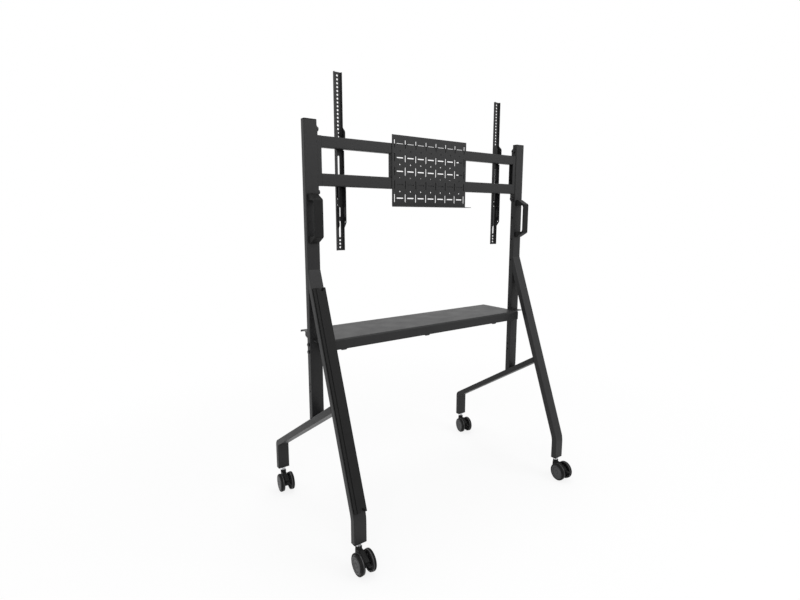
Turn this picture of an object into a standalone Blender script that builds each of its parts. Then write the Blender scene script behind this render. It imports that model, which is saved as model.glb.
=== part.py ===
"""A mobile television stand: a bent tube frame on four twin-wheel casters.

Lengths are in metres and angles in degrees. X runs along the rails, -Y is the rear, where
a person pushes, +Y is the front, where the television hangs, and Z is up from the floor.
"""

import math

import bmesh
import bpy
from mathutils import Matrix, Vector

# Play between two pieces that touch
GAP = 0.0003

# The frame's tube, one section for posts, legs and base bars
TUBE_WIDTH = 0.050
TUBE_DEPTH = 0.025
TUBE_WALL = 0.002
TUBE_EDGE = 0.003

# The frame. Distances to the front and rear are from the posts' rear faces
POST_PITCH = 1.080
POST_TOP = 1.5405
FOOT_BOTTOM = 0.0965
REAR_FOOT = 0.286
FRONT_FOOT = 0.3715
LEG_TOP = 1.0162
LEG_LEAN = 20.0
LEG_BEND = 0.110
BASE_TOP = 0.4577
BASE_DROP = 31.85
BASE_BEND = 0.0175
CAP_HEIGHT = 0.004
CAP_PLUG = 0.014

# Holes in the posts: for moving the rail frame down, and the spare pair for the shelf
POST_HOLE = 0.007
FRAME_HOLES = (1.2015, 1.0995, 1.0015)
SHELF_DROP = 0.1535

# The rail frame. Its rails lie a setback in front of the posts' rear faces, and the top
# rail's middle a drop below the posts' tops
RAIL_SETBACK = 0.003
RAIL_DEPTH = 0.025
TOP_RAIL_HEIGHT = 0.040
LOW_RAIL_HEIGHT = 0.044
RAIL_DROP = 0.073
RAIL_SPACING = 0.132
RAIL_WALL = 0.0018
RAIL_EDGE = 0.0035
HOOK_SLOT = 0.009
STRUT_WIDTH = 0.040
STRUT_SPACING = 0.363

# The brackets that join the rail frame to the posts
BRACKET_PLATE = 0.003
BRACKET_FLANGE = 0.017
BRACKET_FOLD = 0.0025
TONGUE = 0.036
TONGUE_BOLT = 0.022
BOLT = 0.008
BOLT_HEAD = 0.016
BOLT_HEAD_HEIGHT = 0.007
BOLT_REACH = 0.006

# The slotted accessory plate, which rises above the top rail
PLATE_WIDTH = 0.390
PLATE_RISE = 0.0325
PLATE_HEIGHT = 0.280
PLATE_SHEET = 0.002
PLATE_CORNER = 0.004
LEDGE = 0.037
COLUMNS = 8
COLUMN_PITCH = 0.0524
ROWS = 5
ROW_PITCH = 0.052
FIRST_ROW = 0.0338
PLATE_SLOT = 0.0055
UPRIGHT_SLOT = 0.032
LEVEL_SLOT = 0.033
PLATE_HOLE = 0.006

# The arms that carry the television, from above the top rail to below the bottom one
ARM_SPACING = 0.820
ARM_RISE = 0.232
ARM_DROP = 0.235
ARM_WIDTH = 0.030
ARM_DEPTH = 0.010
ARM_SHEET = 0.002
ARM_HOLE = 0.0075
ARM_HOLE_PITCH = 0.01325
ARM_LOW_HOLES = 3
ARM_END = 0.012
ARM_SLOT = 0.0085
MIDDLE_SLOT = 0.079
MIDDLE_SLOT_DROP = 0.020
LATCH_SLOT_DROP = 0.067
LATCH_SLOT_WIDTH = 0.0073
SIDE_HOLE = 0.005
SIDE_HOLE_SHIFT = 0.0075
SIDE_HOLE_DROP = 0.0375
SIDE_HOLE_PITCH = 0.022
HOOK_HEIGHT = 0.040
HOOK_TOOTH = 0.0075

# The latch inside each arm, which stops under the bottom rail
LATCH_SHEET = 0.0015
LATCH_DEPTH = 0.019
LATCH_LENGTH = 0.164
LATCH_CHAMFER = 0.024
LATCH_BRIDGE = 0.0135
LATCH_BRIDGE_DROP = 0.108
LATCH_HOLE = 0.005

# Handles
HANDLE_WIDTH = 0.035
HANDLE_REACH = 0.0467
HANDLE_HEIGHT = 0.175
HANDLE_GRIP = 0.132
HANDLE_GRIP_DEPTH = 0.007
HANDLE_GAP_HEIGHT = 0.124
HANDLE_SHOULDER = 0.010
HANDLE_MIDDLE = 1.198
HANDLE_EDGE = 0.002

# Cable cover on the left leg
COVER_WIDTH = 0.046
COVER_DEPTH = 0.0126
COVER_WALL = 0.002
COVER_EDGE = 0.003
COVER_TOP = 0.9515
COVER_BOTTOM = 0.2235
COVER_NOTCH = 0.014
COVER_NOTCH_DEPTH = 0.009
COVER_NOTCH_SIDE = 0.009

# Shelf of folded sheet, notched round the posts
SHELF_TOP = 0.756
SHELF_SHEET = 0.002
SHELF_REAR = 0.0465
SHELF_FRONT = 0.193
SHELF_LIP = 0.0405
SHELF_HEM = 0.0095
SHELF_BEND = 0.006
REAR_TAB = 0.043
TAB_CORNER = 0.008
SHELF_BRACKET_WIDTH = 0.034
SHELF_BRACKET_HEIGHT = 0.054
SHELF_BRACKET_FRONT = 0.150
SHELF_BRACKET_REAR = 0.020
SHELF_BRACKET_TIP = 0.016
SHELF_BOLT_DROP = 0.0195
SHELF_BOLT_PITCH = 0.0275
SHELF_BOLT_HEAD = 0.013
SHELF_BOLT_HEAD_HEIGHT = 0.004

# Hooks under the shelf
HOOK_SPACING = 0.415
HOOK_SETBACK = 0.014
HOOK_WIDTH = 0.031
HOOK_DROP = 0.0605
HOOK_SHEET = 0.0025
HOOK_FOOT = 0.016
HOOK_CORNER = 0.008

# Casters. Distances back are from the stem's axis, heights from the floor
WHEEL_RADIUS = 0.0390
WHEEL_WIDTH = 0.0225
WHEEL_STEPS = 24
WHEEL_SPACE = 0.0190
WHEEL_PLAY = 0.0004
TRAIL = 0.0364
STEM_RING = 0.0215
STEM_RING_HEIGHT = 0.0085
STEM_PIN = 0.011
STEM_PIN_END = 0.058
STEM_PLUG = 0.018
BOSS = 0.024
HOOD_HUB = 0.017
HOOD_REAR = 0.0245
AXLE = 0.008
AXLE_END = 0.003
WHEEL_HUB = 0.0095
WHEEL_RIM = 0.0325
WHEEL_DISH = 0.014
WHEEL_CAP = 0.0265
WHEEL_GROOVE = 0.0287
WHEEL_SHOULDER = 0.0350
PEDAL_WIDTH = 0.0125
PEDAL_BACK = 0.054
PEDAL_HEIGHT = 0.048
PEDAL_BARREL = 0.0075
PEDAL_PIN = 0.003
PEDAL_TIP = 0.083
PEDAL_SHEET = 0.004
SWIVELS = {
    "rear_left": -2.3,
    "rear_right": -6.0,
    "front_left": -6.4,
    "front_right": -11.4,
}

# Sizes that follow from the ones above
SIDES = (("left", -1), ("right", 1))
FLAT = math.cos(math.pi / WHEEL_STEPS)
AXLE_HEIGHT = WHEEL_RADIUS * FLAT
FRONT_REACH = FRONT_FOOT + TUBE_DEPTH / 2
REAR_REACH = REAR_FOOT + PEDAL_TIP
REAR_FACE = (REAR_REACH - FRONT_REACH) / 2
POST_X = POST_PITCH / 2
INNER_X = POST_X - TUBE_WIDTH / 2
LEAN = math.radians(LEG_LEAN)
DROP = math.radians(BASE_DROP)
RAIL_Y = REAR_FACE + RAIL_SETBACK + RAIL_DEPTH / 2
RAIL_FRONT = RAIL_Y + RAIL_DEPTH / 2
RAIL_REAR = RAIL_Y - RAIL_DEPTH / 2
TOP_RAIL = POST_TOP - RAIL_DROP
BOTTOM_RAIL = TOP_RAIL - RAIL_SPACING
FRAME_TOP = TOP_RAIL + TOP_RAIL_HEIGHT / 2
FRAME_BOTTOM = BOTTOM_RAIL - LOW_RAIL_HEIGHT / 2
PLATE_TOP = FRAME_TOP + PLATE_RISE
ARM_TOP = FRAME_TOP + ARM_RISE
ARM_BOTTOM = FRAME_BOTTOM - ARM_DROP
FLANGE_TIP = INNER_X - GAP - BRACKET_FLANGE
TONGUE_BOLTS = (FRAME_TOP + TONGUE_BOLT, FRAME_BOTTOM - TONGUE_BOLT)
SHELF_BOLTS = (SHELF_TOP - SHELF_BOLT_DROP, SHELF_TOP - SHELF_BOLT_DROP - SHELF_BOLT_PITCH)
SHELF_UNDER = SHELF_TOP - SHELF_SHEET
ARM_BACK = RAIL_FRONT + GAP
ARM_FACE = ARM_BACK + ARM_DEPTH
LATCH_TOP = FRAME_BOTTOM - GAP
WHEEL_TOP_AT_BOSS = AXLE_HEIGHT + math.sqrt(WHEEL_RADIUS**2 - (TRAIL - BOSS / 2) ** 2)
FAR = 0.5
FRAME_REACH = FRONT_REACH + REAR_REACH
PLANES = {
    "X": Matrix(((0, 0, 1), (1, 0, 0), (0, 1, 0))).to_4x4(),
    "Y": Matrix(((1, 0, 0), (0, 0, -1), (0, 1, 0))).to_4x4(),
    "Z": Matrix.Identity(4),
}


def circle(u, v, diameter, steps=12):
    """A round outline, with a flat at each side."""
    angles = [2 * math.pi * (i + 0.5) / steps for i in range(steps)]
    return [(u + diameter / 2 * math.cos(a), v + diameter / 2 * math.sin(a)) for a in angles]


def slot(u, v, length, width, upright=False, steps=3):
    """The outline of a slot with round ends, about its middle."""
    reach = (length - width) / 2
    points = []
    for end in (1, -1):
        for i in range(steps + 1):
            angle = math.pi * (i / steps - end / 2)
            points.append((end * reach + width / 2 * math.cos(angle), width / 2 * math.sin(angle)))
    if upright:
        points = [(-b, a) for a, b in points]
    return [(u + a, v + b) for a, b in points]


def rounded(corners, steps=3):
    """A closed outline through corners (u, v, radius), with each arc as short straight steps."""
    points = []
    for i, (u, v, radius) in enumerate(corners):
        if radius <= 0:
            points.append((u, v))
            continue
        here = Vector((u, v))
        before = (Vector(corners[i - 1][:2]) - here).normalized()
        after = (Vector(corners[(i + 1) % len(corners)][:2]) - here).normalized()
        half = before.angle(after) / 2
        centre = here + (before + after).normalized() * radius / math.sin(half)
        first = here + before * radius / math.tan(half) - centre
        last = here + after * radius / math.tan(half) - centre
        start = math.atan2(first.y, first.x)
        turn = math.atan2(last.y, last.x) - start
        turn = (turn + math.pi) % (2 * math.pi) - math.pi
        for step in range(steps + 1):
            angle = start + turn * step / steps
            points.append((centre.x + radius * math.cos(angle), centre.y + radius * math.sin(angle)))
    return points


def rectangle(u0, u1, v0, v1, radius=0.0):
    """An upright rectangle with one radius at its corners."""
    return rounded([(u0, v0, radius), (u1, v0, radius), (u1, v1, radius), (u0, v1, radius)])


def lengthened(path, extra):
    """The path with both ends drawn out."""
    first = Vector(path[0]) + (Vector(path[0]) - Vector(path[1])).normalized() * extra
    last = Vector(path[-1]) + (Vector(path[-1]) - Vector(path[-2])).normalized() * extra
    return [tuple(first), *path[1:-1], tuple(last)]


def bar_outline(path, depth, bend, steps=5):
    """The side view of a bar of one depth that follows a path and is bent to a radius at its middle."""
    sides = []
    for side in (1, -1):
        line = []
        for i, point in enumerate(path):
            here = Vector(point)
            into = (here - Vector(path[max(i - 1, 0)])).normalized()
            out = (Vector(path[min(i + 1, len(path) - 1)]) - here).normalized()
            into = into if i else out
            out = out if i < len(path) - 1 else into
            normal = Vector((-into.y, into.x))
            mitre = (normal + Vector((-out.y, out.x))).normalized()
            corner = here + mitre * side * depth / 2 / mitre.dot(normal)
            turn = into.x * out.y - into.y * out.x
            inner = math.copysign(1, turn) * side
            radius = bend - inner * depth / 2 if 0 < i < len(path) - 1 else 0.0
            line.append((corner.x, corner.y, radius))
        sides.append(line)
    return rounded(sides[0] + sides[1][::-1], steps)


def new_collection(name):
    """A collection in the scene."""
    collection = bpy.data.collections.new(name)
    bpy.context.scene.collection.children.link(collection)
    return collection


def new_material(name, colour, roughness, metallic=0.0):
    """A plain Principled material."""
    material = bpy.data.materials.new(name)
    material.use_nodes = True
    shader = material.node_tree.nodes["Principled BSDF"]
    shader.inputs["Base Color"].default_value = (*colour, 1.0)
    shader.inputs["Roughness"].default_value = roughness
    shader.inputs["Metallic"].default_value = metallic
    return material


def evaluated_mesh(obj):
    """The object's mesh as its modifiers leave it. The object goes."""
    bpy.context.view_layer.update()
    graph = bpy.context.evaluated_depsgraph_get()
    mesh = bpy.data.meshes.new_from_object(obj.evaluated_get(graph))
    mesh.name = obj.name
    bpy.data.objects.remove(obj)
    return mesh


def weld(mesh, flatten=False, distance=0.000002):
    """Joins points that lie on each other, and on request the triangles of each flat face."""
    work = bmesh.new()
    work.from_mesh(mesh)
    bmesh.ops.remove_doubles(work, verts=work.verts, dist=distance)
    if flatten:
        bmesh.ops.dissolve_limit(work, angle_limit=0.001, verts=work.verts, edges=work.edges)
    work.to_mesh(mesh)
    work.free()


def prism(name, loops, thickness, axis, middle=0.0):
    """A mesh of a flat outline and its holes, made solid along one axis about a middle."""
    curve = bpy.data.curves.new(name, "CURVE")
    curve.dimensions = "2D"
    curve.fill_mode = "BOTH"
    curve.extrude = thickness / 2
    for loop in loops:
        spline = curve.splines.new("POLY")
        spline.points.add(len(loop) - 1)
        spline.use_cyclic_u = True
        for point, (u, v) in zip(spline.points, loop):
            point.co = (u, v, 0.0, 1.0)
    outline = bpy.data.objects.new(name, curve)
    bpy.context.scene.collection.objects.link(outline)
    mesh = evaluated_mesh(outline)
    bpy.data.curves.remove(curve)
    weld(mesh, flatten=len(loops) == 1)
    shift = {"X": (middle, 0, 0), "Y": (0, middle, 0), "Z": (0, 0, middle)}[axis]
    mesh.transform(Matrix.Translation(shift) @ PLANES[axis])
    return mesh


def turned(name, profile, steps, axis="Z"):
    """A mesh turned about an axis from (radius, height) points that run down its outer side."""
    mesh = bpy.data.meshes.new(name)
    edges = [(i, i + 1) for i in range(len(profile) - 1)]
    mesh.from_pydata([(radius, 0.0, height) for radius, height in profile], edges, [])
    body = bpy.data.objects.new(name, mesh)
    bpy.context.scene.collection.objects.link(body)
    screw = body.modifiers.new("Turn", "SCREW")
    screw.steps = steps
    screw.render_steps = steps
    screw.use_merge_vertices = True
    screw.merge_threshold = 0.00001
    result = evaluated_mesh(body)
    weld(result)
    if axis == "X":
        result.transform(Matrix.Rotation(math.pi / 2, 4, "Y"))
    return result


def box(name, low, high):
    """A mesh box between two corners."""
    work = bmesh.new()
    bmesh.ops.create_cube(work, size=1.0)
    size = Vector(high) - Vector(low)
    middle = (Vector(high) + Vector(low)) / 2
    bmesh.ops.transform(work, matrix=Matrix.LocRotScale(middle, None, size), verts=work.verts)
    mesh = bpy.data.meshes.new(name)
    work.to_mesh(mesh)
    work.free()
    return mesh


def add(name, mesh, material, location=(0, 0, 0), parent=None):
    """Puts one sub-part in the stand's collection."""
    obj = bpy.data.objects.new(name, mesh)
    obj.location = location
    obj.parent = parent
    stand.objects.link(obj)
    if material.name not in mesh.materials:
        mesh.materials.append(material)
    mesh.shade_smooth()
    mesh.set_sharp_from_angle(angle=math.radians(35))
    return obj


def helper(name, mesh, rotation=0.0, location=(0, 0, 0)):
    """Puts a cutter or a piece to be joined in the cutters' collection."""
    obj = bpy.data.objects.new(name, mesh)
    obj.rotation_euler = (rotation, 0, 0)
    obj.location = location
    obj.hide_render = True
    obj.display_type = "WIRE"
    cutters.objects.link(obj)
    return obj


def combine(part, tool, operation="DIFFERENCE"):
    """Cuts a helper from a part, or joins it on."""
    modifier = part.modifiers.new(tool.name, "BOOLEAN")
    modifier.operation = operation
    modifier.object = tool


def round_edges(part, width, segments=2, limit=50):
    """Rounds the edges between faces that meet at a larger angle than the limit."""
    modifier = part.modifiers.new("Round edges", "BEVEL")
    modifier.width = width
    modifier.segments = segments
    modifier.limit_method = "ANGLE"
    modifier.angle_limit = math.radians(limit)
    modifier.use_clamp_overlap = False


def settled(part):
    """The part's mesh with its modifiers applied, for copies that share it."""
    material = part.data.materials[0]
    mesh = evaluated_mesh(part)
    if not mesh.materials:
        mesh.materials.append(material)
    return mesh


def from_rear(y, z):
    """A point in side view, with y counted forward from the posts' rear faces."""
    return (REAR_FACE + y, z)


def leg_path():
    """The leg's middle line in side view, from its top to its foot."""
    across = TUBE_DEPTH / 2 / math.cos(LEAN)
    bend = LEG_TOP - (REAR_FOOT + across) / math.tan(LEAN)
    top = from_rear(across, LEG_TOP)
    return [top, from_rear(-REAR_FOOT, bend), from_rear(-REAR_FOOT, FOOT_BOTTOM)]


def base_path():
    """The base bar's middle line in side view, from the leg to the front foot."""
    lean, drop = math.tan(LEAN), math.tan(DROP)
    across = TUBE_DEPTH / 2 / math.cos(LEAN)
    under_post = BASE_TOP - TUBE_DEPTH / 2 / math.cos(DROP)
    meets_leg = (across - (LEG_TOP - under_post) * lean) / (1 + drop * lean)
    start = from_rear(meets_leg, under_post - meets_leg * drop)
    bend = from_rear(FRONT_FOOT, under_post - FRONT_FOOT * drop)
    return [start, bend, from_rear(FRONT_FOOT, FOOT_BOTTOM)]


def leg_face_cutter(side_x):
    """A slab that fills the space behind the leg's front face."""
    toward = Vector((0, math.cos(LEAN), -math.sin(LEAN)))
    on_face = Vector((side_x, REAR_FACE + TUBE_DEPTH / math.cos(LEAN), LEG_TOP))
    slab = box("leg_face", (-TUBE_WIDTH, -TUBE_WIDTH * 2, -LEG_TOP), (TUBE_WIDTH, 0, LEG_TOP / 2))
    return helper("leg_face_cutter", slab, -LEAN, on_face + toward * GAP)


def base_face_cutter(side_x):
    """A slab that fills the space under the base bar's top face."""
    upward = Vector((0, math.sin(DROP), math.cos(DROP)))
    on_face = Vector((side_x, REAR_FACE, BASE_TOP))
    slab = box("base_face", (-TUBE_WIDTH, -TUBE_WIDTH * 2, -FAR), (TUBE_WIDTH, TUBE_WIDTH * 2, 0))
    return helper("base_face_cutter", slab, -DROP, on_face + upward * GAP)


def bent_tube(name, path, bend, side_x, top_cutter):
    """A bent tube of the frame's section, cut level at the foot and by a given cutter at the top."""
    outer = bar_outline(lengthened(path, TUBE_DEPTH), TUBE_DEPTH, bend)
    hollow = bar_outline(lengthened(path, TUBE_DEPTH * 2), TUBE_DEPTH - 2 * TUBE_WALL, bend)
    tube = add(name, prism(name, [outer], TUBE_WIDTH, "X", side_x), frame_paint)
    round_edges(tube, TUBE_EDGE)
    combine(tube, top_cutter)
    low = (side_x - TUBE_WIDTH, -FRAME_REACH, 0)
    high = (side_x + TUBE_WIDTH, FRAME_REACH, FOOT_BOTTOM)
    combine(tube, helper(f"{name}_foot_cutter", box("foot_cutter", low, high)))
    core = prism(f"{name}_core", [hollow], TUBE_WIDTH - 2 * TUBE_WALL, "X", side_x)
    combine(tube, helper(f"{name}_core", core))


def make_post(side, sign):
    """An upright tube, cut to the base bar's slope, with its holes."""
    x = sign * POST_X
    wall = TUBE_WIDTH / 2 - TUBE_WALL
    outer = rectangle(x - TUBE_WIDTH / 2, x + TUBE_WIDTH / 2, REAR_FACE, REAR_FACE + TUBE_DEPTH, TUBE_EDGE)
    low_y, high_y = REAR_FACE + TUBE_WALL, REAR_FACE + TUBE_DEPTH - TUBE_WALL
    inner = rectangle(x - wall, x + wall, low_y, high_y, TUBE_EDGE - TUBE_WALL)
    top = POST_TOP - CAP_HEIGHT - GAP
    bottom = BASE_TOP - TUBE_WIDTH
    name = f"post_{side}"
    post = add(name, prism(name, [outer, inner], top - bottom, "Z", (top + bottom) / 2), frame_paint)
    combine(post, base_face_cutter(x))
    middle = REAR_FACE + TUBE_DEPTH / 2
    inner_holes = [circle(middle, z, POST_HOLE) for z in FRAME_HOLES]
    inner_holes += [circle(RAIL_Y, z, BOLT + 2 * GAP) for z in TONGUE_BOLTS]
    holes = prism(f"{name}_inner_holes", inner_holes, TUBE_WIDTH / 2, "X", sign * INNER_X)
    combine(post, helper(f"{name}_inner_holes", holes))
    through = [circle(middle, z - drop, POST_HOLE) for z in SHELF_BOLTS for drop in (0, SHELF_DROP)]
    holes = prism(f"{name}_through_holes", through, 2 * TUBE_WIDTH, "X", x)
    combine(post, helper(f"{name}_through_holes", holes))


def make_post_cap(side, sign):
    """A cap with a plug that sits in the top of the post."""
    x = sign * POST_X
    y = REAR_FACE + TUBE_DEPTH / 2
    half_x, half_y = TUBE_WIDTH / 2, TUBE_DEPTH / 2
    lid_outline = rectangle(x - half_x, x + half_x, y - half_y, y + half_y, TUBE_EDGE)
    lid = prism("cap_lid", [lid_outline], CAP_HEIGHT, "Z", POST_TOP - CAP_HEIGHT / 2)
    cap = add(f"post_cap_{side}", lid, black_plastic)
    half_x -= TUBE_WALL + GAP
    half_y -= TUBE_WALL + GAP
    plug_outline = rectangle(x - half_x, x + half_x, y - half_y, y + half_y, TUBE_EDGE - TUBE_WALL)
    height = CAP_PLUG + CAP_HEIGHT / 2
    middle = POST_TOP - CAP_HEIGHT / 2 - height / 2
    plug = prism("cap_plug", [plug_outline], height, "Z", middle)
    combine(cap, helper(f"cap_plug_{side}", plug), "UNION")


def make_leg(side, sign):
    """The leaning rear leg, cut upright where it meets the post."""
    x = sign * POST_X
    low = (x - TUBE_WIDTH, REAR_FACE - GAP, 0)
    high = (x + TUBE_WIDTH, FRAME_REACH, POST_TOP)
    ahead = helper(f"ahead_of_post_{side}", box("ahead_of_post", low, high))
    bent_tube(f"rear_leg_{side}", leg_path(), LEG_BEND, x, ahead)


def make_base_bar(side, sign):
    """The sloping base bar, from the leg's front face to the upright front foot."""
    x = sign * POST_X
    bent_tube(f"base_bar_{side}", base_path(), BASE_BEND, x, leg_face_cutter(x))


def make_rail(name, middle, height, hooked):
    """A rail between the end brackets. The top one is open above for the arms' hooks."""
    half = FLANGE_TIP - GAP
    low, high = middle - height / 2, middle + height / 2
    outer = rectangle(RAIL_REAR, RAIL_FRONT, low, high, RAIL_EDGE)
    inside = (RAIL_REAR + RAIL_WALL, RAIL_FRONT - RAIL_WALL, low + RAIL_WALL, high - RAIL_WALL)
    inner = rectangle(*inside, RAIL_EDGE - RAIL_WALL)
    rail = add(name, prism(name, [outer, inner], 2 * half, "X"), frame_paint)
    if hooked:
        low_corner = (-2 * half, RAIL_Y - HOOK_SLOT / 2, middle)
        high_corner = (2 * half, RAIL_Y + HOOK_SLOT / 2, middle + height)
        combine(rail, helper("hook_slot", box("hook_slot", low_corner, high_corner)))


def make_strut(side, sign):
    """An upright tube between the rails, as deep as they are."""
    x = sign * STRUT_SPACING / 2
    low = BOTTOM_RAIL + LOW_RAIL_HEIGHT / 2 + GAP
    high = TOP_RAIL - TOP_RAIL_HEIGHT / 2 - GAP
    half = STRUT_WIDTH / 2
    outer = rectangle(x - half, x + half, RAIL_REAR, RAIL_FRONT, RAIL_EDGE)
    half -= RAIL_WALL
    inner = rectangle(x - half, x + half, RAIL_REAR + RAIL_WALL, RAIL_FRONT - RAIL_WALL, RAIL_EDGE - RAIL_WALL)
    tube = prism("strut", [outer, inner], high - low, "Z", (high + low) / 2)
    add(f"rail_strut_{side}", tube, frame_paint)


def make_end_bracket(side, sign):
    """A channel open to the middle, on a plate whose tongues are bolted to the post."""
    root = INNER_X - GAP
    web = root - BRACKET_PLATE
    channel_outline = [
        (root, RAIL_REAR),
        (root, RAIL_FRONT),
        (FLANGE_TIP, RAIL_FRONT),
        (FLANGE_TIP, RAIL_FRONT - BRACKET_FOLD),
        (web, RAIL_FRONT - BRACKET_FOLD),
        (web, RAIL_REAR + BRACKET_FOLD),
        (FLANGE_TIP, RAIL_REAR + BRACKET_FOLD),
        (FLANGE_TIP, RAIL_REAR),
    ]
    channel_outline = [(sign * x, y) for x, y in channel_outline]
    height = FRAME_TOP - FRAME_BOTTOM
    channel = prism("channel", [channel_outline], height, "Z", (FRAME_TOP + FRAME_BOTTOM) / 2)
    bracket = add(f"rail_bracket_{side}", channel, frame_paint)
    radius = RAIL_DEPTH / 2 - GAP
    tongue_outline = rectangle(
        RAIL_REAR + GAP, RAIL_FRONT - GAP, FRAME_BOTTOM - TONGUE, FRAME_TOP + TONGUE, radius * 0.98
    )
    holes = [circle(RAIL_Y, z, BOLT + 2 * GAP) for z in TONGUE_BOLTS]
    plate = prism("tongues", [tongue_outline, *holes], BRACKET_PLATE, "X", sign * (root + web) / 2)
    combine(bracket, helper(f"tongues_{side}", plate), "UNION")


def make_bolt(name, diameter, head, head_height, grip, x, y, z, outward, material):
    """A bolt along X, its head on the side that outward points to."""
    chamfer = head_height * 0.25
    profile = [
        (0.0, head_height),
        (head / 2 - chamfer, head_height),
        (head / 2, head_height - chamfer),
        (head / 2, 0.0),
        (diameter / 2, 0.0),
        (diameter / 2, -grip),
        (0.0, -grip),
    ]
    mesh = turned(name, profile, 12, "X")
    if outward < 0:
        mesh.transform(Matrix.Rotation(math.pi, 4, "Z"))
    add(name, mesh, material, (x, y, z))


def make_frame_bolts(side, sign):
    """The two bolts through each end bracket's tongues into the post."""
    x = sign * (INNER_X - 2 * GAP - BRACKET_PLATE)
    grip = BRACKET_PLATE + TUBE_WALL + BOLT_REACH
    for place, z in zip(("upper", "lower"), TONGUE_BOLTS):
        name = f"rail_bolt_{place}_{side}"
        size = (BOLT - 2 * GAP, BOLT_HEAD, BOLT_HEAD_HEIGHT, grip)
        make_bolt(name, *size, x, RAIL_Y, z, -sign, black_steel)


def make_accessory_plate():
    """A slotted sheet on the rear of the rails, with a ledge folded out along its bottom edge."""
    bottom = PLATE_TOP - PLATE_HEIGHT
    half = PLATE_WIDTH / 2
    front = RAIL_REAR - GAP
    outline = rectangle(-half, half, bottom, PLATE_TOP, PLATE_CORNER)
    sheet = prism("sheet", [outline], PLATE_SHEET, "Y", front - PLATE_SHEET / 2)
    plate = add("accessory_plate", sheet, frame_paint)
    ledge = rectangle(-half, half, front - PLATE_SHEET - LEDGE, front - PLATE_SHEET / 2, 0.001)
    ledge = prism("ledge", [ledge], PLATE_SHEET, "Z", bottom + PLATE_CORNER + PLATE_SHEET / 2)
    combine(plate, helper("ledge", ledge), "UNION")
    openings = []
    first_column = -COLUMN_PITCH * (COLUMNS - 1) / 2
    for row in range(ROWS):
        z = PLATE_TOP - FIRST_ROW - row * ROW_PITCH
        for column in range(COLUMNS):
            x = first_column + column * COLUMN_PITCH
            openings.append(slot(x, z, UPRIGHT_SLOT, PLATE_SLOT, upright=True))
            if column < COLUMNS - 1:
                openings.append(slot(x + COLUMN_PITCH / 2, z, LEVEL_SLOT, PLATE_SLOT))
                if row < ROWS - 1:
                    openings.append(circle(x + COLUMN_PITCH / 2, z - ROW_PITCH / 2, PLATE_HOLE, 8))
    punched = prism("plate_openings", openings, 3 * PLATE_SHEET, "Y", front - PLATE_SHEET / 2)
    combine(plate, helper("plate_openings", punched))


def make_arm(side, sign):
    """A channel open to the rear, whose flanges hook over the top rail and drop into its slot."""
    seat = FRAME_TOP + GAP
    tooth = HOOK_SLOT / 2 - 3 * GAP
    flange = rounded(
        [
            (ARM_BACK, ARM_BOTTOM, 0.002),
            (ARM_BACK, seat, 0),
            (RAIL_Y + tooth, seat, 0),
            (RAIL_Y + tooth, seat - HOOK_TOOTH, 0),
            (RAIL_Y - tooth, seat - HOOK_TOOTH, 0.002),
            (RAIL_Y - tooth, seat + HOOK_HEIGHT * 0.6, 0.012),
            (ARM_BACK, seat + HOOK_HEIGHT, 0.008),
            (ARM_BACK, ARM_TOP, 0.002),
            (ARM_FACE, ARM_TOP, 0),
            (ARM_FACE, ARM_BOTTOM, 0),
        ]
    )
    arm = add(f"vesa_arm_{side}", prism("arm", [flange], ARM_WIDTH, "X"), frame_paint)
    arm.location.x = sign * ARM_SPACING / 2
    inside = ARM_WIDTH / 2 - ARM_SHEET
    channel = box("channel", (-inside, -FAR, ARM_BOTTOM - FAR), (inside, ARM_FACE - ARM_SHEET, ARM_TOP + FAR))
    combine(arm, helper(f"arm_channel_{side}", channel, 0, arm.location))
    first = ARM_TOP - ARM_END
    count = int((first - FRAME_TOP) / ARM_HOLE_PITCH) + 1
    holes = [circle(0, first - i * ARM_HOLE_PITCH, ARM_HOLE, 8) for i in range(count)]
    last = ARM_BOTTOM + ARM_END
    holes += [circle(0, last + i * ARM_HOLE_PITCH, ARM_HOLE, 8) for i in range(ARM_LOW_HOLES)]
    slot_low = last + ARM_LOW_HOLES * ARM_HOLE_PITCH
    slot_high = FRAME_BOTTOM - LATCH_SLOT_DROP
    latch_slot = slot(0, (slot_low + slot_high) / 2, slot_high - slot_low, LATCH_SLOT_WIDTH, upright=True)
    middle = TOP_RAIL - TOP_RAIL_HEIGHT / 2 - MIDDLE_SLOT_DROP - MIDDLE_SLOT / 2
    middle_slot = slot(0, middle, MIDDLE_SLOT, ARM_SLOT, upright=True)
    for i in range(2):
        side_hole = FRAME_BOTTOM - SIDE_HOLE_DROP - i * SIDE_HOLE_PITCH
        holes.append(circle(-SIDE_HOLE_SHIFT, side_hole, SIDE_HOLE, 8))
    holes += [latch_slot, middle_slot]
    punched = prism("arm_holes", holes, 2 * ARM_DEPTH, "Y", ARM_FACE)
    combine(arm, helper(f"arm_holes_{side}", punched, 0, arm.location))
    return arm


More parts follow.
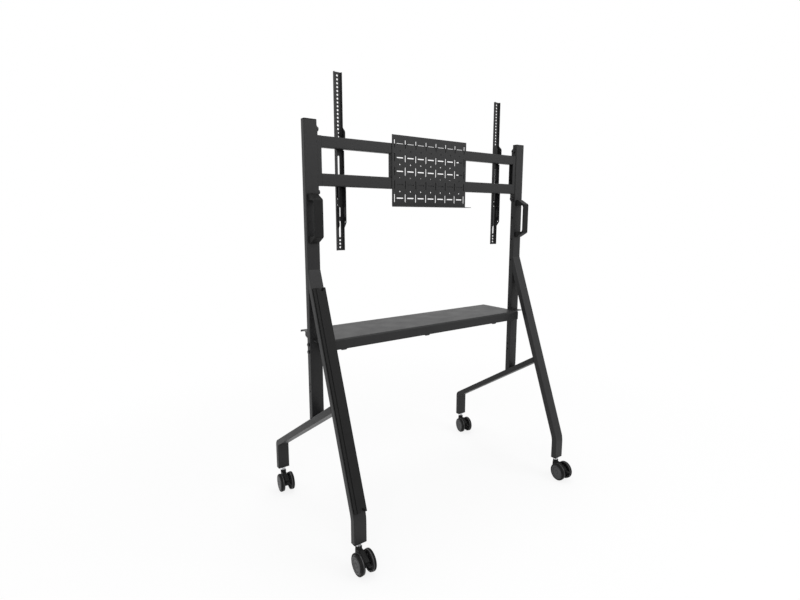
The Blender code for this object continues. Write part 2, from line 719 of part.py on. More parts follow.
def make_arm_latch(side, arm):
    """Two side plates and a bridge inside the arm, whose top stops under the bottom rail."""
    front = ARM_FACE - ARM_SHEET - GAP
    back = ARM_BACK - LATCH_DEPTH
    bottom = LATCH_TOP - LATCH_LENGTH
    outline = rounded(
        [
            (back, LATCH_TOP, 0.002),
            (back, bottom + LATCH_CHAMFER, 0.004),
            (ARM_BACK, bottom, 0.002),
            (front, bottom, 0),
            (front, LATCH_TOP, 0),
        ]
    )
    hole = circle(back + LATCH_DEPTH / 2, bottom + LATCH_CHAMFER + 0.012, LATCH_HOLE, 8)
    width = ARM_WIDTH - 2 * ARM_SHEET - 2 * GAP
    latch = add(f"arm_latch_{side}", prism("latch", [outline, hole], width, "X"), black_steel)
    latch.location = arm.location
    bridge_top = LATCH_TOP - LATCH_BRIDGE_DROP
    bridge_back = front - LATCH_SHEET
    around_bridge = [
        (-FAR, bottom - FAR),
        (FAR, bottom - FAR),
        (FAR, bridge_top - LATCH_BRIDGE),
        (bridge_back, bridge_top - LATCH_BRIDGE),
        (bridge_back, bridge_top),
        (FAR, bridge_top),
        (FAR, LATCH_TOP + FAR),
        (-FAR, LATCH_TOP + FAR),
    ]
    space = prism("latch_space", [around_bridge], width - 2 * LATCH_SHEET, "X")
    combine(latch, helper(f"latch_space_{side}", space, 0, arm.location))


def make_handle(side, sign):
    """A moulded handle with a finger gap, its feet on the post's rear face."""
    foot = REAR_FACE - GAP
    grip = REAR_FACE - HANDLE_REACH
    half = HANDLE_HEIGHT / 2
    outline = [
        (foot, HANDLE_MIDDLE - half),
        (foot, HANDLE_MIDDLE - HANDLE_GAP_HEIGHT / 2),
        (grip + HANDLE_GRIP_DEPTH, HANDLE_MIDDLE - HANDLE_GAP_HEIGHT / 2),
        (grip + HANDLE_GRIP_DEPTH, HANDLE_MIDDLE + HANDLE_GAP_HEIGHT / 2),
        (foot, HANDLE_MIDDLE + HANDLE_GAP_HEIGHT / 2),
        (foot, HANDLE_MIDDLE + half),
        (foot - HANDLE_SHOULDER, HANDLE_MIDDLE + half),
        (grip, HANDLE_MIDDLE + HANDLE_GRIP / 2),
        (grip, HANDLE_MIDDLE - HANDLE_GRIP / 2),
        (foot - HANDLE_SHOULDER, HANDLE_MIDDLE - half),
    ]
    radii = (0, 0, 0.006, 0.006, 0, 0, 0.005, 0.006, 0.006, 0.005)
    corners = [(y, z, radius) for (y, z), radius in zip(outline, radii)]
    mesh = prism("handle", [rounded(corners)], HANDLE_WIDTH, "X", sign * POST_X)
    handle = add(f"handle_{side}", mesh, black_plastic)
    round_edges(handle, HANDLE_EDGE, 2, 60)


def make_cable_cover():
    """A channel that covers cables down the left leg's rear face, with a finger notch at each end."""
    half = COVER_WIDTH / 2
    wall = COVER_WALL
    section = rounded(
        [
            (-half, 0, 0),
            (-half, -COVER_DEPTH, COVER_EDGE),
            (half, -COVER_DEPTH, COVER_EDGE),
            (half, 0, 0),
            (half - wall, 0, 0),
            (half - wall, -COVER_DEPTH + wall, COVER_EDGE - wall),
            (-half + wall, -COVER_DEPTH + wall, COVER_EDGE - wall),
            (-half + wall, 0, 0),
        ]
    )
    length = (COVER_TOP - COVER_BOTTOM) / math.cos(LEAN)
    loops = []
    notched = prism("cable_cover", [section], length, "Z")
    for end in (1, -1):
        edge = end * length / 2
        loops.append(slot(COVER_NOTCH_SIDE, edge, 2 * COVER_NOTCH_DEPTH, COVER_NOTCH, upright=True, steps=6))
    back = Vector((0, -math.cos(LEAN), math.sin(LEAN)))
    middle_height = (COVER_TOP + COVER_BOTTOM) / 2
    middle = Vector((-POST_X, REAR_FACE - (LEG_TOP - middle_height) * math.tan(LEAN), middle_height))
    place = middle + back * GAP
    cover = add("cable_cover", notched, black_plastic, place)
    cover.rotation_euler = (-LEAN, 0, 0)
    notches = prism("cover_notches", loops, COVER_DEPTH, "Y", -COVER_DEPTH)
    combine(cover, helper("cover_notches", notches, -LEAN, place))


def make_shelf():
    """A folded tray with a lip behind, a low hem in front, and tabs that run out behind the posts."""
    rear = REAR_FACE - SHELF_REAR
    front = REAR_FACE + SHELF_FRONT
    half_sheet = SHELF_SHEET / 2
    path = [
        (rear + half_sheet, SHELF_TOP - SHELF_LIP),
        (rear + half_sheet, SHELF_TOP - half_sheet),
        (front - half_sheet, SHELF_TOP - half_sheet),
        (front - half_sheet, SHELF_TOP - SHELF_HEM),
    ]
    end = INNER_X - GAP
    fold = prism("shelf", [bar_outline(path, SHELF_SHEET, SHELF_BEND, 3)], 2 * end, "X")
    shelf = add("shelf", fold, frame_paint)
    flat = SHELF_BEND + SHELF_SHEET
    for side, sign in SIDES:
        overlap = end - TAB_CORNER
        corners = [
            (sign * overlap, rear + flat, 0),
            (sign * (end + REAR_TAB), rear + flat, TAB_CORNER),
            (sign * (end + REAR_TAB), REAR_FACE - GAP, 0.002),
            (sign * overlap, REAR_FACE - GAP, 0),
        ]
        tab = prism("tab", [rounded(corners)], SHELF_SHEET, "Z", SHELF_TOP - half_sheet)
        combine(shelf, helper(f"shelf_tab_{side}", tab), "UNION")


def make_shelf_bracket(side, sign):
    """An angle bracket under the shelf's end, bolted to the post's inner face."""
    root = INNER_X - 2 * GAP
    top = SHELF_UNDER - GAP
    rear = REAR_FACE - SHELF_BRACKET_REAR
    front = REAR_FACE + SHELF_BRACKET_FRONT
    knee = REAR_FACE + TUBE_DEPTH * 1.6
    side_outline = rounded(
        [
            (rear, top, 0),
            (rear, top - SHELF_BRACKET_HEIGHT, 0.006),
            (knee, top - SHELF_BRACKET_HEIGHT, 0.010),
            (front, top - SHELF_BRACKET_TIP, 0.004),
            (front, top, 0),
        ]
    )
    holes = [circle(REAR_FACE + TUBE_DEPTH / 2, z, POST_HOLE) for z in SHELF_BOLTS]
    plate_x = sign * (root - BRACKET_PLATE / 2)
    plate = prism("side_plate", [side_outline, *holes], BRACKET_PLATE, "X", plate_x)
    bracket = add(f"shelf_bracket_{side}", plate, frame_paint)
    inner = root - SHELF_BRACKET_WIDTH
    flange = [(sign * x, y) for x, y in rectangle(inner, root - GAP, rear + GAP, front - GAP, 0.001)]
    flange = prism("flange", [flange], BRACKET_PLATE, "Z", top - BRACKET_PLATE / 2)
    combine(bracket, helper(f"bracket_flange_{side}", flange), "UNION")


def make_shelf_bolts(side, sign):
    """The two bolts through each post that hold a shelf bracket."""
    outer = sign * (POST_X + TUBE_WIDTH / 2 + GAP)
    grip = TUBE_WIDTH + BRACKET_PLATE + BOLT_REACH
    for place, z in zip(("upper", "lower"), SHELF_BOLTS):
        name = f"shelf_bolt_{place}_{side}"
        size = (POST_HOLE - 3 * GAP, SHELF_BOLT_HEAD, SHELF_BOLT_HEAD_HEIGHT, grip)
        make_bolt(name, *size, outer, REAR_FACE + TUBE_DEPTH / 2, z, sign, black_steel)


def make_shelf_hooks():
    """Three bent tabs that hang from the shelf's underside."""
    for name, x in (("left", -HOOK_SPACING), ("middle", 0.0), ("right", HOOK_SPACING)):
        y = REAR_FACE + HOOK_SETBACK
        top = SHELF_UNDER - GAP
        hang = [
            (x - HOOK_WIDTH / 2, top, 0),
            (x - HOOK_WIDTH / 2, SHELF_UNDER - HOOK_DROP, HOOK_CORNER),
            (x + HOOK_WIDTH / 2, SHELF_UNDER - HOOK_DROP, HOOK_CORNER),
            (x + HOOK_WIDTH / 2, top, 0),
        ]
        tab = prism("hook", [rounded(hang, 4)], HOOK_SHEET, "Y", y + HOOK_SHEET / 2)
        hook = add(f"shelf_hook_{name}", tab, black_steel)
        inset = HOOK_WIDTH / 2 - GAP
        low = (x - inset, y + GAP, top - HOOK_SHEET)
        foot = box("hook_foot", low, (x + inset, y + HOOK_FOOT, top))
        combine(hook, helper(f"hook_foot_{name}", foot), "UNION")


def make_stem_mesh():
    """The stem with its ring, and the plug that holds it in the foot, about the stem's axis."""
    ring_top = FOOT_BOTTOM - GAP
    ring_bottom = ring_top - STEM_RING_HEIGHT
    edge = 0.001
    profile = [
        (0.0, FOOT_BOTTOM + STEM_PLUG / 2),
        (STEM_RING * 0.4, FOOT_BOTTOM + STEM_PLUG / 2),
        (STEM_RING * 0.4, ring_top),
        (STEM_RING / 2 - edge, ring_top),
        (STEM_RING / 2, ring_top - edge),
        (STEM_RING / 2, ring_bottom + edge),
        (STEM_RING / 2 - edge, ring_bottom),
        (STEM_PIN / 2, ring_bottom),
        (STEM_PIN / 2, STEM_PIN_END + edge),
        (STEM_PIN / 2 - edge, STEM_PIN_END),
        (0.0, STEM_PIN_END),
    ]
    stem = add("stem", turned("stem", profile, 16), zinc)
    half_x = TUBE_WIDTH / 2 - TUBE_WALL - GAP
    half_y = TUBE_DEPTH / 2 - TUBE_WALL - GAP
    plug = rectangle(-half_x, half_x, -half_y, half_y, TUBE_EDGE - TUBE_WALL)
    plug = prism("plug", [plug], STEM_PLUG, "Z", FOOT_BOTTOM + GAP + STEM_PLUG / 2)
    combine(stem, helper("stem_plug", plug), "UNION")
    return settled(stem)


def make_housing_mesh():
    """The swivelling body between the wheels, about the stem's axis with the axle behind it."""
    half = WHEEL_SPACE / 2 - WHEEL_PLAY
    front = BOSS / 2 - 0.0015
    crown = FOOT_BOTTOM - GAP - STEM_RING_HEIGHT - GAP
    boss_low = WHEEL_TOP_AT_BOSS + 3 * WHEEL_PLAY
    top = boss_low + 0.0024
    hub_low = AXLE_HEIGHT - HOOD_HUB
    rear = -TRAIL - HOOD_REAR
    outline = rounded(
        [
            (front, AXLE_HEIGHT + 0.012, 0.006),
            (front, top, 0.004),
            (-TRAIL * 0.55, top, 0.012),
            (rear, PEDAL_HEIGHT + PEDAL_BARREL, 0.005),
            (rear, PEDAL_HEIGHT - PEDAL_BARREL, 0.004),
            (-TRAIL - HOOD_HUB * 0.6, hub_low, 0.010),
            (-TRAIL + HOOD_HUB * 0.6, hub_low, 0.010),
        ]
    )
    housing = add("housing", prism("housing", [outline], 2 * half, "X"), black_plastic)
    round_edges(housing, 0.0015, 1, 50)
    boss = prism("boss", [circle(0, 0, BOSS, 20)], crown - boss_low, "Z", (crown + boss_low) / 2)
    combine(housing, helper("boss", boss), "UNION")
    bore_profile = [
        (0.0, crown + STEM_PIN),
        (STEM_PIN / 2 + GAP, crown + STEM_PIN),
        (STEM_PIN / 2 + GAP, STEM_PIN_END - GAP),
        (0.0, STEM_PIN_END - GAP),
    ]
    combine(housing, helper("stem_bore", turned("stem_bore", bore_profile, 16)))
    axle_bore = prism("axle_bore", [circle(-TRAIL, AXLE_HEIGHT, AXLE + 2 * GAP)], 4 * half, "X")
    combine(housing, helper("axle_bore", axle_bore))
    recess_half = PEDAL_WIDTH / 2 + GAP
    recess_front = -PEDAL_BACK + PEDAL_BARREL / 2 + 2 * GAP
    low = (-recess_half, -2 * PEDAL_TIP, PEDAL_HEIGHT - 3 * PEDAL_BARREL)
    high = (recess_half, recess_front, PEDAL_HEIGHT + PEDAL_BARREL / 2 + 2 * GAP)
    combine(housing, helper("pedal_recess", box("pedal_recess", low, high)))
    pin_holes = prism("pin_holes", [circle(-PEDAL_BACK, PEDAL_HEIGHT, PEDAL_PIN + 3 * GAP, 8)], 4 * half, "X")
    combine(housing, helper("pedal_pin_holes", pin_holes))
    return settled(housing)


def make_wheel_mesh():
    """One wheel about its axle, its hub side at height 0 and its outer face up, turned to run along X."""
    bore = AXLE / 2 + GAP
    blind = WHEEL_WIDTH - AXLE_END
    tread = WHEEL_RADIUS
    profile = [
        (0.0, WHEEL_WIDTH),
        (WHEEL_CAP * 0.62, WHEEL_WIDTH),
        (WHEEL_CAP, WHEEL_WIDTH - 0.0014),
        (WHEEL_GROOVE, WHEEL_WIDTH - 0.0028),
        (WHEEL_SHOULDER, WHEEL_WIDTH - 0.0018),
        (tread, WHEEL_WIDTH - 0.0065),
        (tread, 0.0040),
        (tread - 0.0030, 0.0006),
        (WHEEL_RIM, 0.0006),
        (WHEEL_RIM - 0.0015, WHEEL_DISH),
        (WHEEL_HUB, WHEEL_DISH),
        (WHEEL_HUB, 0.0),
        (bore, 0.0),
        (bore, blind),
        (0.0, blind),
    ]
    mesh = turned("wheel", profile, WHEEL_STEPS, "X")
    mesh.transform(Matrix.Rotation(math.pi / WHEEL_STEPS, 4, "X"))
    return mesh


def make_axle_mesh():
    """The axle, with a chamfer at each end."""
    half = WHEEL_SPACE / 2 + WHEEL_WIDTH - AXLE_END - 2 * GAP
    chamfer = 0.0006
    radius = AXLE / 2
    profile = [
        (0.0, half),
        (radius - chamfer, half),
        (radius, half - chamfer),
        (radius, -half + chamfer),
        (radius - chamfer, -half),
        (0.0, -half),
    ]
    return turned("axle", profile, 12, "X")


def make_pedal_mesh():
    """The brake pedal about its pin: a barrel, a plate to push and the pin's two ends."""
    barrel = prism("pedal", [circle(0, 0, PEDAL_BARREL)], PEDAL_WIDTH, "X")
    pedal = add("pedal", barrel, black_plastic)
    reach = PEDAL_TIP - PEDAL_BACK
    plate_outline = rounded(
        [
            (-reach, 0.0035, 0.001),
            (-reach, -0.0005, 0.001),
            (-reach * 0.6, -PEDAL_SHEET / 2, 0),
            (0, -PEDAL_SHEET / 2, 0),
            (0, PEDAL_SHEET / 2, 0),
            (-reach * 0.6, PEDAL_SHEET / 2, 0),
        ]
    )
    plate = prism("pedal_plate", [plate_outline], PEDAL_WIDTH - 2 * GAP, "X")
    combine(pedal, helper("pedal_plate", plate), "UNION")
    pin_length = WHEEL_SPACE - 4 * WHEEL_PLAY
    pin = prism("pedal_pin", [circle(0, 0, PEDAL_PIN, 8)], pin_length, "X")
    combine(pedal, helper("pedal_pin", pin), "UNION")
    return settled(pedal)


def make_casters():
    """Four casters, each turned a little about its stem."""
    stem_mesh = make_stem_mesh()
    housing_mesh = make_housing_mesh()
    wheel_mesh = make_wheel_mesh()
    axle_mesh = make_axle_mesh()
    pedal_mesh = make_pedal_mesh()
    opposite_wheel = wheel_mesh.copy()
    opposite_wheel.transform(Matrix.Rotation(math.pi, 4, "Z"))
    for corner, angle in SWIVELS.items():
        end, side = corner.split("_")
        x = POST_X * dict(SIDES)[side]
        y = REAR_FACE + (FRONT_FOOT if end == "front" else -REAR_FOOT)
        add(f"caster_stem_{corner}", stem_mesh, zinc, (x, y, 0))
        swivel = bpy.data.objects.new(f"caster_{corner}", None)
        swivel.location = (x, y, 0)
        swivel.rotation_euler = (0, 0, math.radians(angle))
        stand.objects.link(swivel)
        axle_place = (0, -TRAIL, AXLE_HEIGHT)
        add(f"caster_housing_{corner}", housing_mesh, black_plastic, parent=swivel)
        add(f"caster_axle_{corner}", axle_mesh, zinc, axle_place, swivel)
        half = WHEEL_SPACE / 2
        add(f"wheel_right_{corner}", wheel_mesh, wheel_plastic, (half, -TRAIL, AXLE_HEIGHT), swivel)
        add(f"wheel_left_{corner}", opposite_wheel, wheel_plastic, (-half, -TRAIL, AXLE_HEIGHT), swivel)
        pedal_place = (0, -PEDAL_BACK, PEDAL_HEIGHT)
        add(f"brake_pedal_{corner}", pedal_mesh, black_plastic, pedal_place, swivel)


for leftover in list(bpy.data.objects):
    bpy.data.objects.remove(leftover)
stand = new_collection("mobile_tv_stand")
cutters = new_collection("cutters")
cutters.hide_render = True
frame_paint = new_material("black_powder_coat", (0.012, 0.012, 0.013), 0.38)
black_steel = new_material("black_steel", (0.010, 0.010, 0.011), 0.42)
black_plastic = new_material("black_plastic", (0.009, 0.009, 0.010), 0.50)
wheel_plastic = new_material("wheel_plastic", (0.030, 0.030, 0.032), 0.55)
zinc = new_material("zinc", (0.62, 0.62, 0.63), 0.28, 1.0)

for side, sign in SIDES:
    make_post(side, sign)
    make_post_cap(side, sign)
    make_leg(side, sign)
    make_base_bar(side, sign)
    make_end_bracket(side, sign)
    make_frame_bolts(side, sign)
    make_strut(side, sign)
    make_handle(side, sign)
    make_arm_latch(side, make_arm(side, sign))
    make_shelf_bracket(side, sign)
    make_shelf_bolts(side, sign)
make_rail("rail_top", TOP_RAIL, TOP_RAIL_HEIGHT, hooked=True)
make_rail("rail_bottom", BOTTOM_RAIL, LOW_RAIL_HEIGHT, hooked=False)
make_accessory_plate()
make_cable_cover()
make_shelf()
make_shelf_hooks()
make_casters()
for part in stand.objects:
    if part.modifiers:
        part.modifiers.new("Weld", "WELD").merge_threshold = 0.00001
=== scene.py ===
"""Finishes and close detail of a mobile television stand, a bent tube frame on four casters.

Lengths are in metres. X runs along the rails, -Y is the rear, where the camera and the
handles are, +Y is the front, where the television hangs, and Z is up from the floor.
"""

import math

import bmesh
import bpy
import numpy as np
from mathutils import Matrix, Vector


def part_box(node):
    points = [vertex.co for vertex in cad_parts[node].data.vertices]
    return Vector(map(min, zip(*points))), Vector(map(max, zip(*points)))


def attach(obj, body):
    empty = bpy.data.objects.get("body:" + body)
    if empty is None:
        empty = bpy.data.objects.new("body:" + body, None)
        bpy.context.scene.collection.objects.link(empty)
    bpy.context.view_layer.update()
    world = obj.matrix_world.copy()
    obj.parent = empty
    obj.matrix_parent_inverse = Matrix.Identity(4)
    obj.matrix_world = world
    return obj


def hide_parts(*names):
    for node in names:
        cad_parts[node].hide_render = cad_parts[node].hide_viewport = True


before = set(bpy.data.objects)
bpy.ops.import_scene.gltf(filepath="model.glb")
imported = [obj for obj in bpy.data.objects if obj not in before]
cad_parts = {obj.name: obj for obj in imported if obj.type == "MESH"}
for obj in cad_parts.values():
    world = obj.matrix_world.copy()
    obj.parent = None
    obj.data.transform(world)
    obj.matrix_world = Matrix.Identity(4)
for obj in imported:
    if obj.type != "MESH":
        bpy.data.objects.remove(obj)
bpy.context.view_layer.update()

scene = bpy.context.scene

# Camera: behind the stand, to its left and at chest height, as a person sees it who walks up to
# push it. A short lens, tipped nine degrees down.
camera = bpy.data.objects.new("camera", bpy.data.cameras.new("camera"))
camera.data.sensor_width = 36.0
camera.data.lens = 22.46
camera.data.clip_end = 50.0
camera.location = (-1.3407, -1.6517, 1.1970)
camera.rotation_euler = (math.radians(80.761), 0.0, math.radians(-35.734))
scene.collection.objects.link(camera)
scene.camera = camera

# Studio: a pale floor that fades into a white surround, and three large soft lamps. The white
# surround also shows in the paint's gloss, which turns the black steel to dark greys.
FLOOR_RADIUS = 30.0
FLOOR_SIDES = 96
FLOOR_DROP = 0.0002
LAMP_AIM = np.array([0.0, 0.0, 0.8])


def linear(code):
    """An sRGB hex colour as linear RGB, each channel through the sRGB curve."""
    value = np.array([int(code[i:i + 2], 16) for i in (1, 3, 5)]) / 255
    value = np.where(value <= 0.04045, value / 12.92, ((value + 0.055) / 1.055) ** 2.4)
    return (*value.tolist(), 1.0)


def add_node(tree, kind, inputs=None, **settings):
    """Adds a node, its settings and its inputs: values, or other nodes' outputs to link."""
    node = tree.nodes.new(kind)
    for key, value in settings.items():
        setattr(node, key, value)
    for key, value in (inputs or {}).items():
        if isinstance(value, bpy.types.NodeSocket):
            tree.links.new(value, node.inputs[key])
        else:
            node.inputs[key].default_value = value
    return node


def seen_directly_or_in_gloss(tree):
    """1 for rays from the camera, or off or through a glossy surface, and 0 for diffuse light."""
    path = add_node(tree, "ShaderNodeLightPath").outputs
    either = {0: path["Is Camera Ray"], 1: path["Is Glossy Ray"]}
    either = add_node(tree, "ShaderNodeMath", either, operation="MAXIMUM")
    either = {0: either.outputs[0], 1: path["Is Transmission Ray"]}
    return add_node(tree, "ShaderNodeMath", either, operation="MAXIMUM").outputs[0]


world = bpy.data.worlds.new("studio")
scene.world = world
world.use_nodes = True
tree = world.node_tree
surround = tree.nodes["Background"]
level = {0: seen_directly_or_in_gloss(tree), "To Min": 0.55, "To Max": 1.0}
tree.links.new(add_node(tree, "ShaderNodeMapRange", level).outputs[0], surround.inputs["Strength"])
surround.inputs["Color"].default_value = (1.0, 1.0, 1.0, 1.0)
scene.view_settings.view_transform = "Standard"

floor_finish = bpy.data.materials.new("matt_white_studio_floor")
floor_finish.use_nodes = True
tree = floor_finish.node_tree
tree.nodes.remove(tree.nodes["Principled BSDF"])
matt = add_node(tree, "ShaderNodeBsdfDiffuse", {"Color": linear("#f4f4f4")}).outputs[0]
white = add_node(tree, "ShaderNodeEmission", {"Color": (1.0, 1.0, 1.0, 1.0)}).outputs[0]
place = add_node(tree, "ShaderNodeTexCoord").outputs["Object"]
distance = add_node(tree, "ShaderNodeVectorMath", {0: place}, operation="LENGTH").outputs["Value"]
fade = {"Value": distance, "From Min": 0.8, "From Max": 2.4, "To Min": 0.82, "To Max": 1.0}
fade = add_node(tree, "ShaderNodeMapRange", fade, interpolation_type="SMOOTHSTEP").outputs[0]
share = {0: seen_directly_or_in_gloss(tree), 1: fade}
share = add_node(tree, "ShaderNodeMath", share, operation="MULTIPLY").outputs[0]
mixed = add_node(tree, "ShaderNodeMixShader", {0: share, 1: matt, 2: white}).outputs[0]
tree.links.new(mixed, tree.nodes["Material Output"].inputs["Surface"])
floor_mesh = bpy.data.meshes.new("floor")
around = np.linspace(0, 2 * np.pi, FLOOR_SIDES, endpoint=False)
floor_rim = np.stack([FLOOR_RADIUS * np.cos(around), FLOOR_RADIUS * np.sin(around),
                      0 * around - FLOOR_DROP], -1)
floor_mesh.from_pydata(floor_rim.tolist(), [], [list(range(FLOOR_SIDES))])
floor_mesh.materials.append(floor_finish)
floor = bpy.data.objects.new("floor", floor_mesh)
scene.collection.objects.link(floor)

for name, spot, size, watts in (
    ("lamp_left", (-2.2, -2.9, 2.9), 2.6, 52),
    ("lamp_right", (1.8, -2.9, 2.8), 2.2, 40),
    ("lamp_top", (0.2, 0.8, 4.0), 3.2, 60),
):
    lamp = bpy.data.objects.new(name, bpy.data.lights.new(name, "AREA"))
    lamp.data.size = size
    lamp.data.energy = watts
    lamp.location = spot
    toward = LAMP_AIM - np.array(spot)
    tilt = math.acos(-toward[2] / np.linalg.norm(toward))
    lamp.rotation_euler = (tilt, 0, math.atan2(toward[1], toward[0]) - math.pi / 2)
    scene.collection.objects.link(lamp)


# Posts, rear legs and base bars: 50 x 25 mm rectangular steel tube with a 2 mm wall and 3 mm
# corners. The legs and bars are bent upright at the foot, and everything is cut and welded.
# The paint is black powder coat, baked on: smooth with a faint orange peel, semi-gloss.
def mottled(name, patch, detail, gloss, tones, constants):
    """A finish that drifts in soft noise patches of a size in metres: roughness runs between its two
    ends as the noise runs from 0.3 to 0.7, and colour between two tones as it runs from 0 to 1. A
    single tone and the constants stay even."""
    material = bpy.data.materials.new(name)
    material.use_nodes = True
    tree = material.node_tree
    shader = tree.nodes["Principled BSDF"]
    place = add_node(tree, "ShaderNodeTexCoord").outputs["Object"]
    drift = {"Vector": place, "Scale": 1 / patch, "Detail": detail}
    drift = add_node(tree, "ShaderNodeTexNoise", drift).outputs["Fac"]
    level = {"Value": drift, "From Min": 0.3, "From Max": 0.7, "To Min": gloss[0], "To Max": gloss[1]}
    tree.links.new(add_node(tree, "ShaderNodeMapRange", level).outputs[0], shader.inputs["Roughness"])
    if len(tones) == 1:
        shader.inputs["Base Color"].default_value = linear(tones[0])
    else:
        ramp = add_node(tree, "ShaderNodeValToRGB", {"Fac": drift})
        for end, tone in zip(ramp.color_ramp.elements, tones):
            end.color = linear(tone)
        tree.links.new(ramp.outputs["Color"], shader.inputs["Base Color"])
    for key, value in constants.items():
        shader.inputs[key].default_value = value
    return material


# The flow of the melted powder, about 60 mm wide, shifts colour and gloss a little
powder_coat = mottled("black_powder_coated_steel", 0.060, 3.0, (0.40, 0.48), ("#191919", "#222223"),
                      {"IOR": 1.52, "Specular IOR Level": 0.22})
tree = powder_coat.node_tree
shader = tree.nodes["Principled BSDF"]
place = tree.nodes["Texture Coordinate"].outputs["Object"]
# Orange peel is about 1 mm across on the real paint, and drawn at 2.5 mm so that it shows
peel = {"Vector": place, "Scale": 1 / 0.0025, "Detail": 2.0}
peel = add_node(tree, "ShaderNodeTexNoise", peel).outputs["Fac"]
bump = {"Height": peel, "Distance": 0.00006, "Strength": 0.5}
tree.links.new(add_node(tree, "ShaderNodeBump", bump).outputs[0], shader.inputs["Normal"])

SIDES = (("left", -1), ("right", 1))
TUBE = (0.050, 0.025)
TUBE_WALL = 0.002
TUBE_CORNER = 0.003
POST_X = 0.540
REAR_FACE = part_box("post_left")[0][1]
GAP = 0.0003
LEAN = math.radians(20.0)
LEG_TOP = 1.0162
LEG_FOOT = 0.2885
LEG_BEND = 0.110
DROP = math.radians(31.85)
BASE_TOP = 0.4577
BASE_START = 0.14
BASE_FOOT = 0.3715
BASE_BEND = 0.0175
FOOT_BOTTOM = 0.0950
SMALL_HOLE = 0.007
SPARE_HOLES = (1.2015, 1.0995, 1.0015)
SHELF_HOLES = (0.7365, 0.7090, 0.5830, 0.5555)
BRACKET_HOLE = 0.0086
BRACKET_HOLES = (1.5095, 1.2915)
BRACKET_HOLE_IN = 0.0155


def fillet(corners, radii, steps=6):
    """A closed outline through corners, each turned into an arc. The arc's centre lies on the corner's
    bisector, radius / sin(half angle) away, and its ends lie radius / tan(half angle) along the sides."""
    corner = np.array(corners, float)
    radius = np.broadcast_to(np.array(radii, float), len(corner))
    back = np.roll(corner, 1, 0) - corner
    ahead = np.roll(corner, -1, 0) - corner
    back /= np.linalg.norm(back, axis=1)[:, None]
    ahead /= np.linalg.norm(ahead, axis=1)[:, None]
    half = np.arccos(np.clip((back * ahead).sum(1), -1, 1)) / 2
    middle = back + ahead
    middle /= np.linalg.norm(middle, axis=1)[:, None]
    centre = corner + middle * (radius / np.sin(half))[:, None]
    first = corner + back * (radius / np.tan(half))[:, None] - centre
    last = corner + ahead * (radius / np.tan(half))[:, None] - centre
    start = np.arctan2(first[:, 1], first[:, 0])
    turn = (np.arctan2(last[:, 1], last[:, 0]) - start + np.pi) % (2 * np.pi) - np.pi
    angle = start[:, None] + turn[:, None] * np.linspace(0, 1, steps + 1)
    arcs = centre[:, None] + radius[:, None, None] * np.stack([np.cos(angle), np.sin(angle)], -1)
    points = arcs.reshape(-1, 2)
    return points[np.linalg.norm(points - np.roll(points, 1, 0), axis=1) > 1e-7]


def rectangle(u0, u1, v0, v1, radius, steps=6):
    """A rectangle's outline with equal round corners."""
    return fillet([(u0, v0), (u1, v0), (u1, v1), (u0, v1)], radius, steps)


def grid_faces(rows, columns, closed=False):
    """Quads of a grid whose columns run round: point (i, j) joins (i, j + 1), (i + 1, j + 1) and
    (i + 1, j). A closed grid's last row joins its first."""
    i = np.arange(rows if closed else rows - 1)[:, None]
    j = np.arange(columns)[None]
    right, down = (j + 1) % columns, (i + 1) % rows
    corners = [i * columns + j, i * columns + right, down * columns + right, down * columns + j]
    return np.stack(corners, -1).reshape(-1, 4).tolist()


def add_piece(name, points, faces, material, body=None, slot=None, stands_for=(), sharp=40,
              edge=0.0, segments=2):
    """Makes a piece of a surface: merges doubled points, turns faces outward and finishes its edges.
    A piece with no body is a cutter."""
    work = bmesh.new()
    mesh = bpy.data.meshes.new(name)
    mesh.from_pydata(np.asarray(points).reshape(-1, 3).tolist(), [], faces)
    work.from_mesh(mesh)
    bmesh.ops.remove_doubles(work, verts=work.verts, dist=0.000002)
    bmesh.ops.recalc_face_normals(work, faces=work.faces)
    work.to_mesh(mesh)
    work.free()
    mesh.materials.append(material)
    piece = bpy.data.objects.new(name, mesh)
    scene.collection.objects.link(piece)
    finish_edges(piece, sharp, edge, segments)
    if body:
        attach(piece, body)
    if stands_for:
        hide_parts(*stands_for)
    return piece


def finish_edges(piece, sharp, edge, segments=2):
    """Shades a piece smooth up to an angle, rounds its edges by a bevel if it has one, and weighs its
    normals by face area, which keeps flat faces flat."""
    piece.data.shade_smooth()
    piece.data.set_sharp_from_angle(angle=math.radians(sharp))
    if edge:
        bevel = piece.modifiers.new("Edges", "BEVEL")
        bevel.width = edge
        bevel.segments = segments
        bevel.limit_method = "ANGLE"
        bevel.angle_limit = math.radians(sharp)
        bevel.use_clamp_overlap = True
    piece.modifiers.new("Flat faces", "WEIGHTED_NORMAL").keep_sharp = True


def bent_line(points, radius, steps=14):
    """Stations and headings along a line in side view with one bend: its start, an arc tangent to both
    straight parts, and its end. The heading turns evenly over the arc."""
    start, corner, end = (np.array(p, float) for p in points)
    back = (start - corner) / np.linalg.norm(start - corner)
    ahead = (end - corner) / np.linalg.norm(end - corner)
    half = math.acos(back @ ahead) / 2
    middle = (back + ahead) / np.linalg.norm(back + ahead)
    centre = corner + middle * radius / math.sin(half)
    first = corner + back * radius / math.tan(half) - centre
    turn = math.copysign(math.pi - 2 * half, ahead[1] * -back[0] + back[1] * ahead[0])
    angle = turn * np.linspace(0, 1, steps + 1)
    arc = np.stack([np.cos(angle) * first[0] - np.sin(angle) * first[1],
                    np.sin(angle) * first[0] + np.cos(angle) * first[1]], -1) + centre
    heading = math.atan2(-back[1], -back[0]) + angle
    heading = np.concatenate([heading[:1], heading, heading[-1:]])
    return np.vstack([start, arc, end]), np.stack([np.cos(heading), np.sin(heading)], -1)


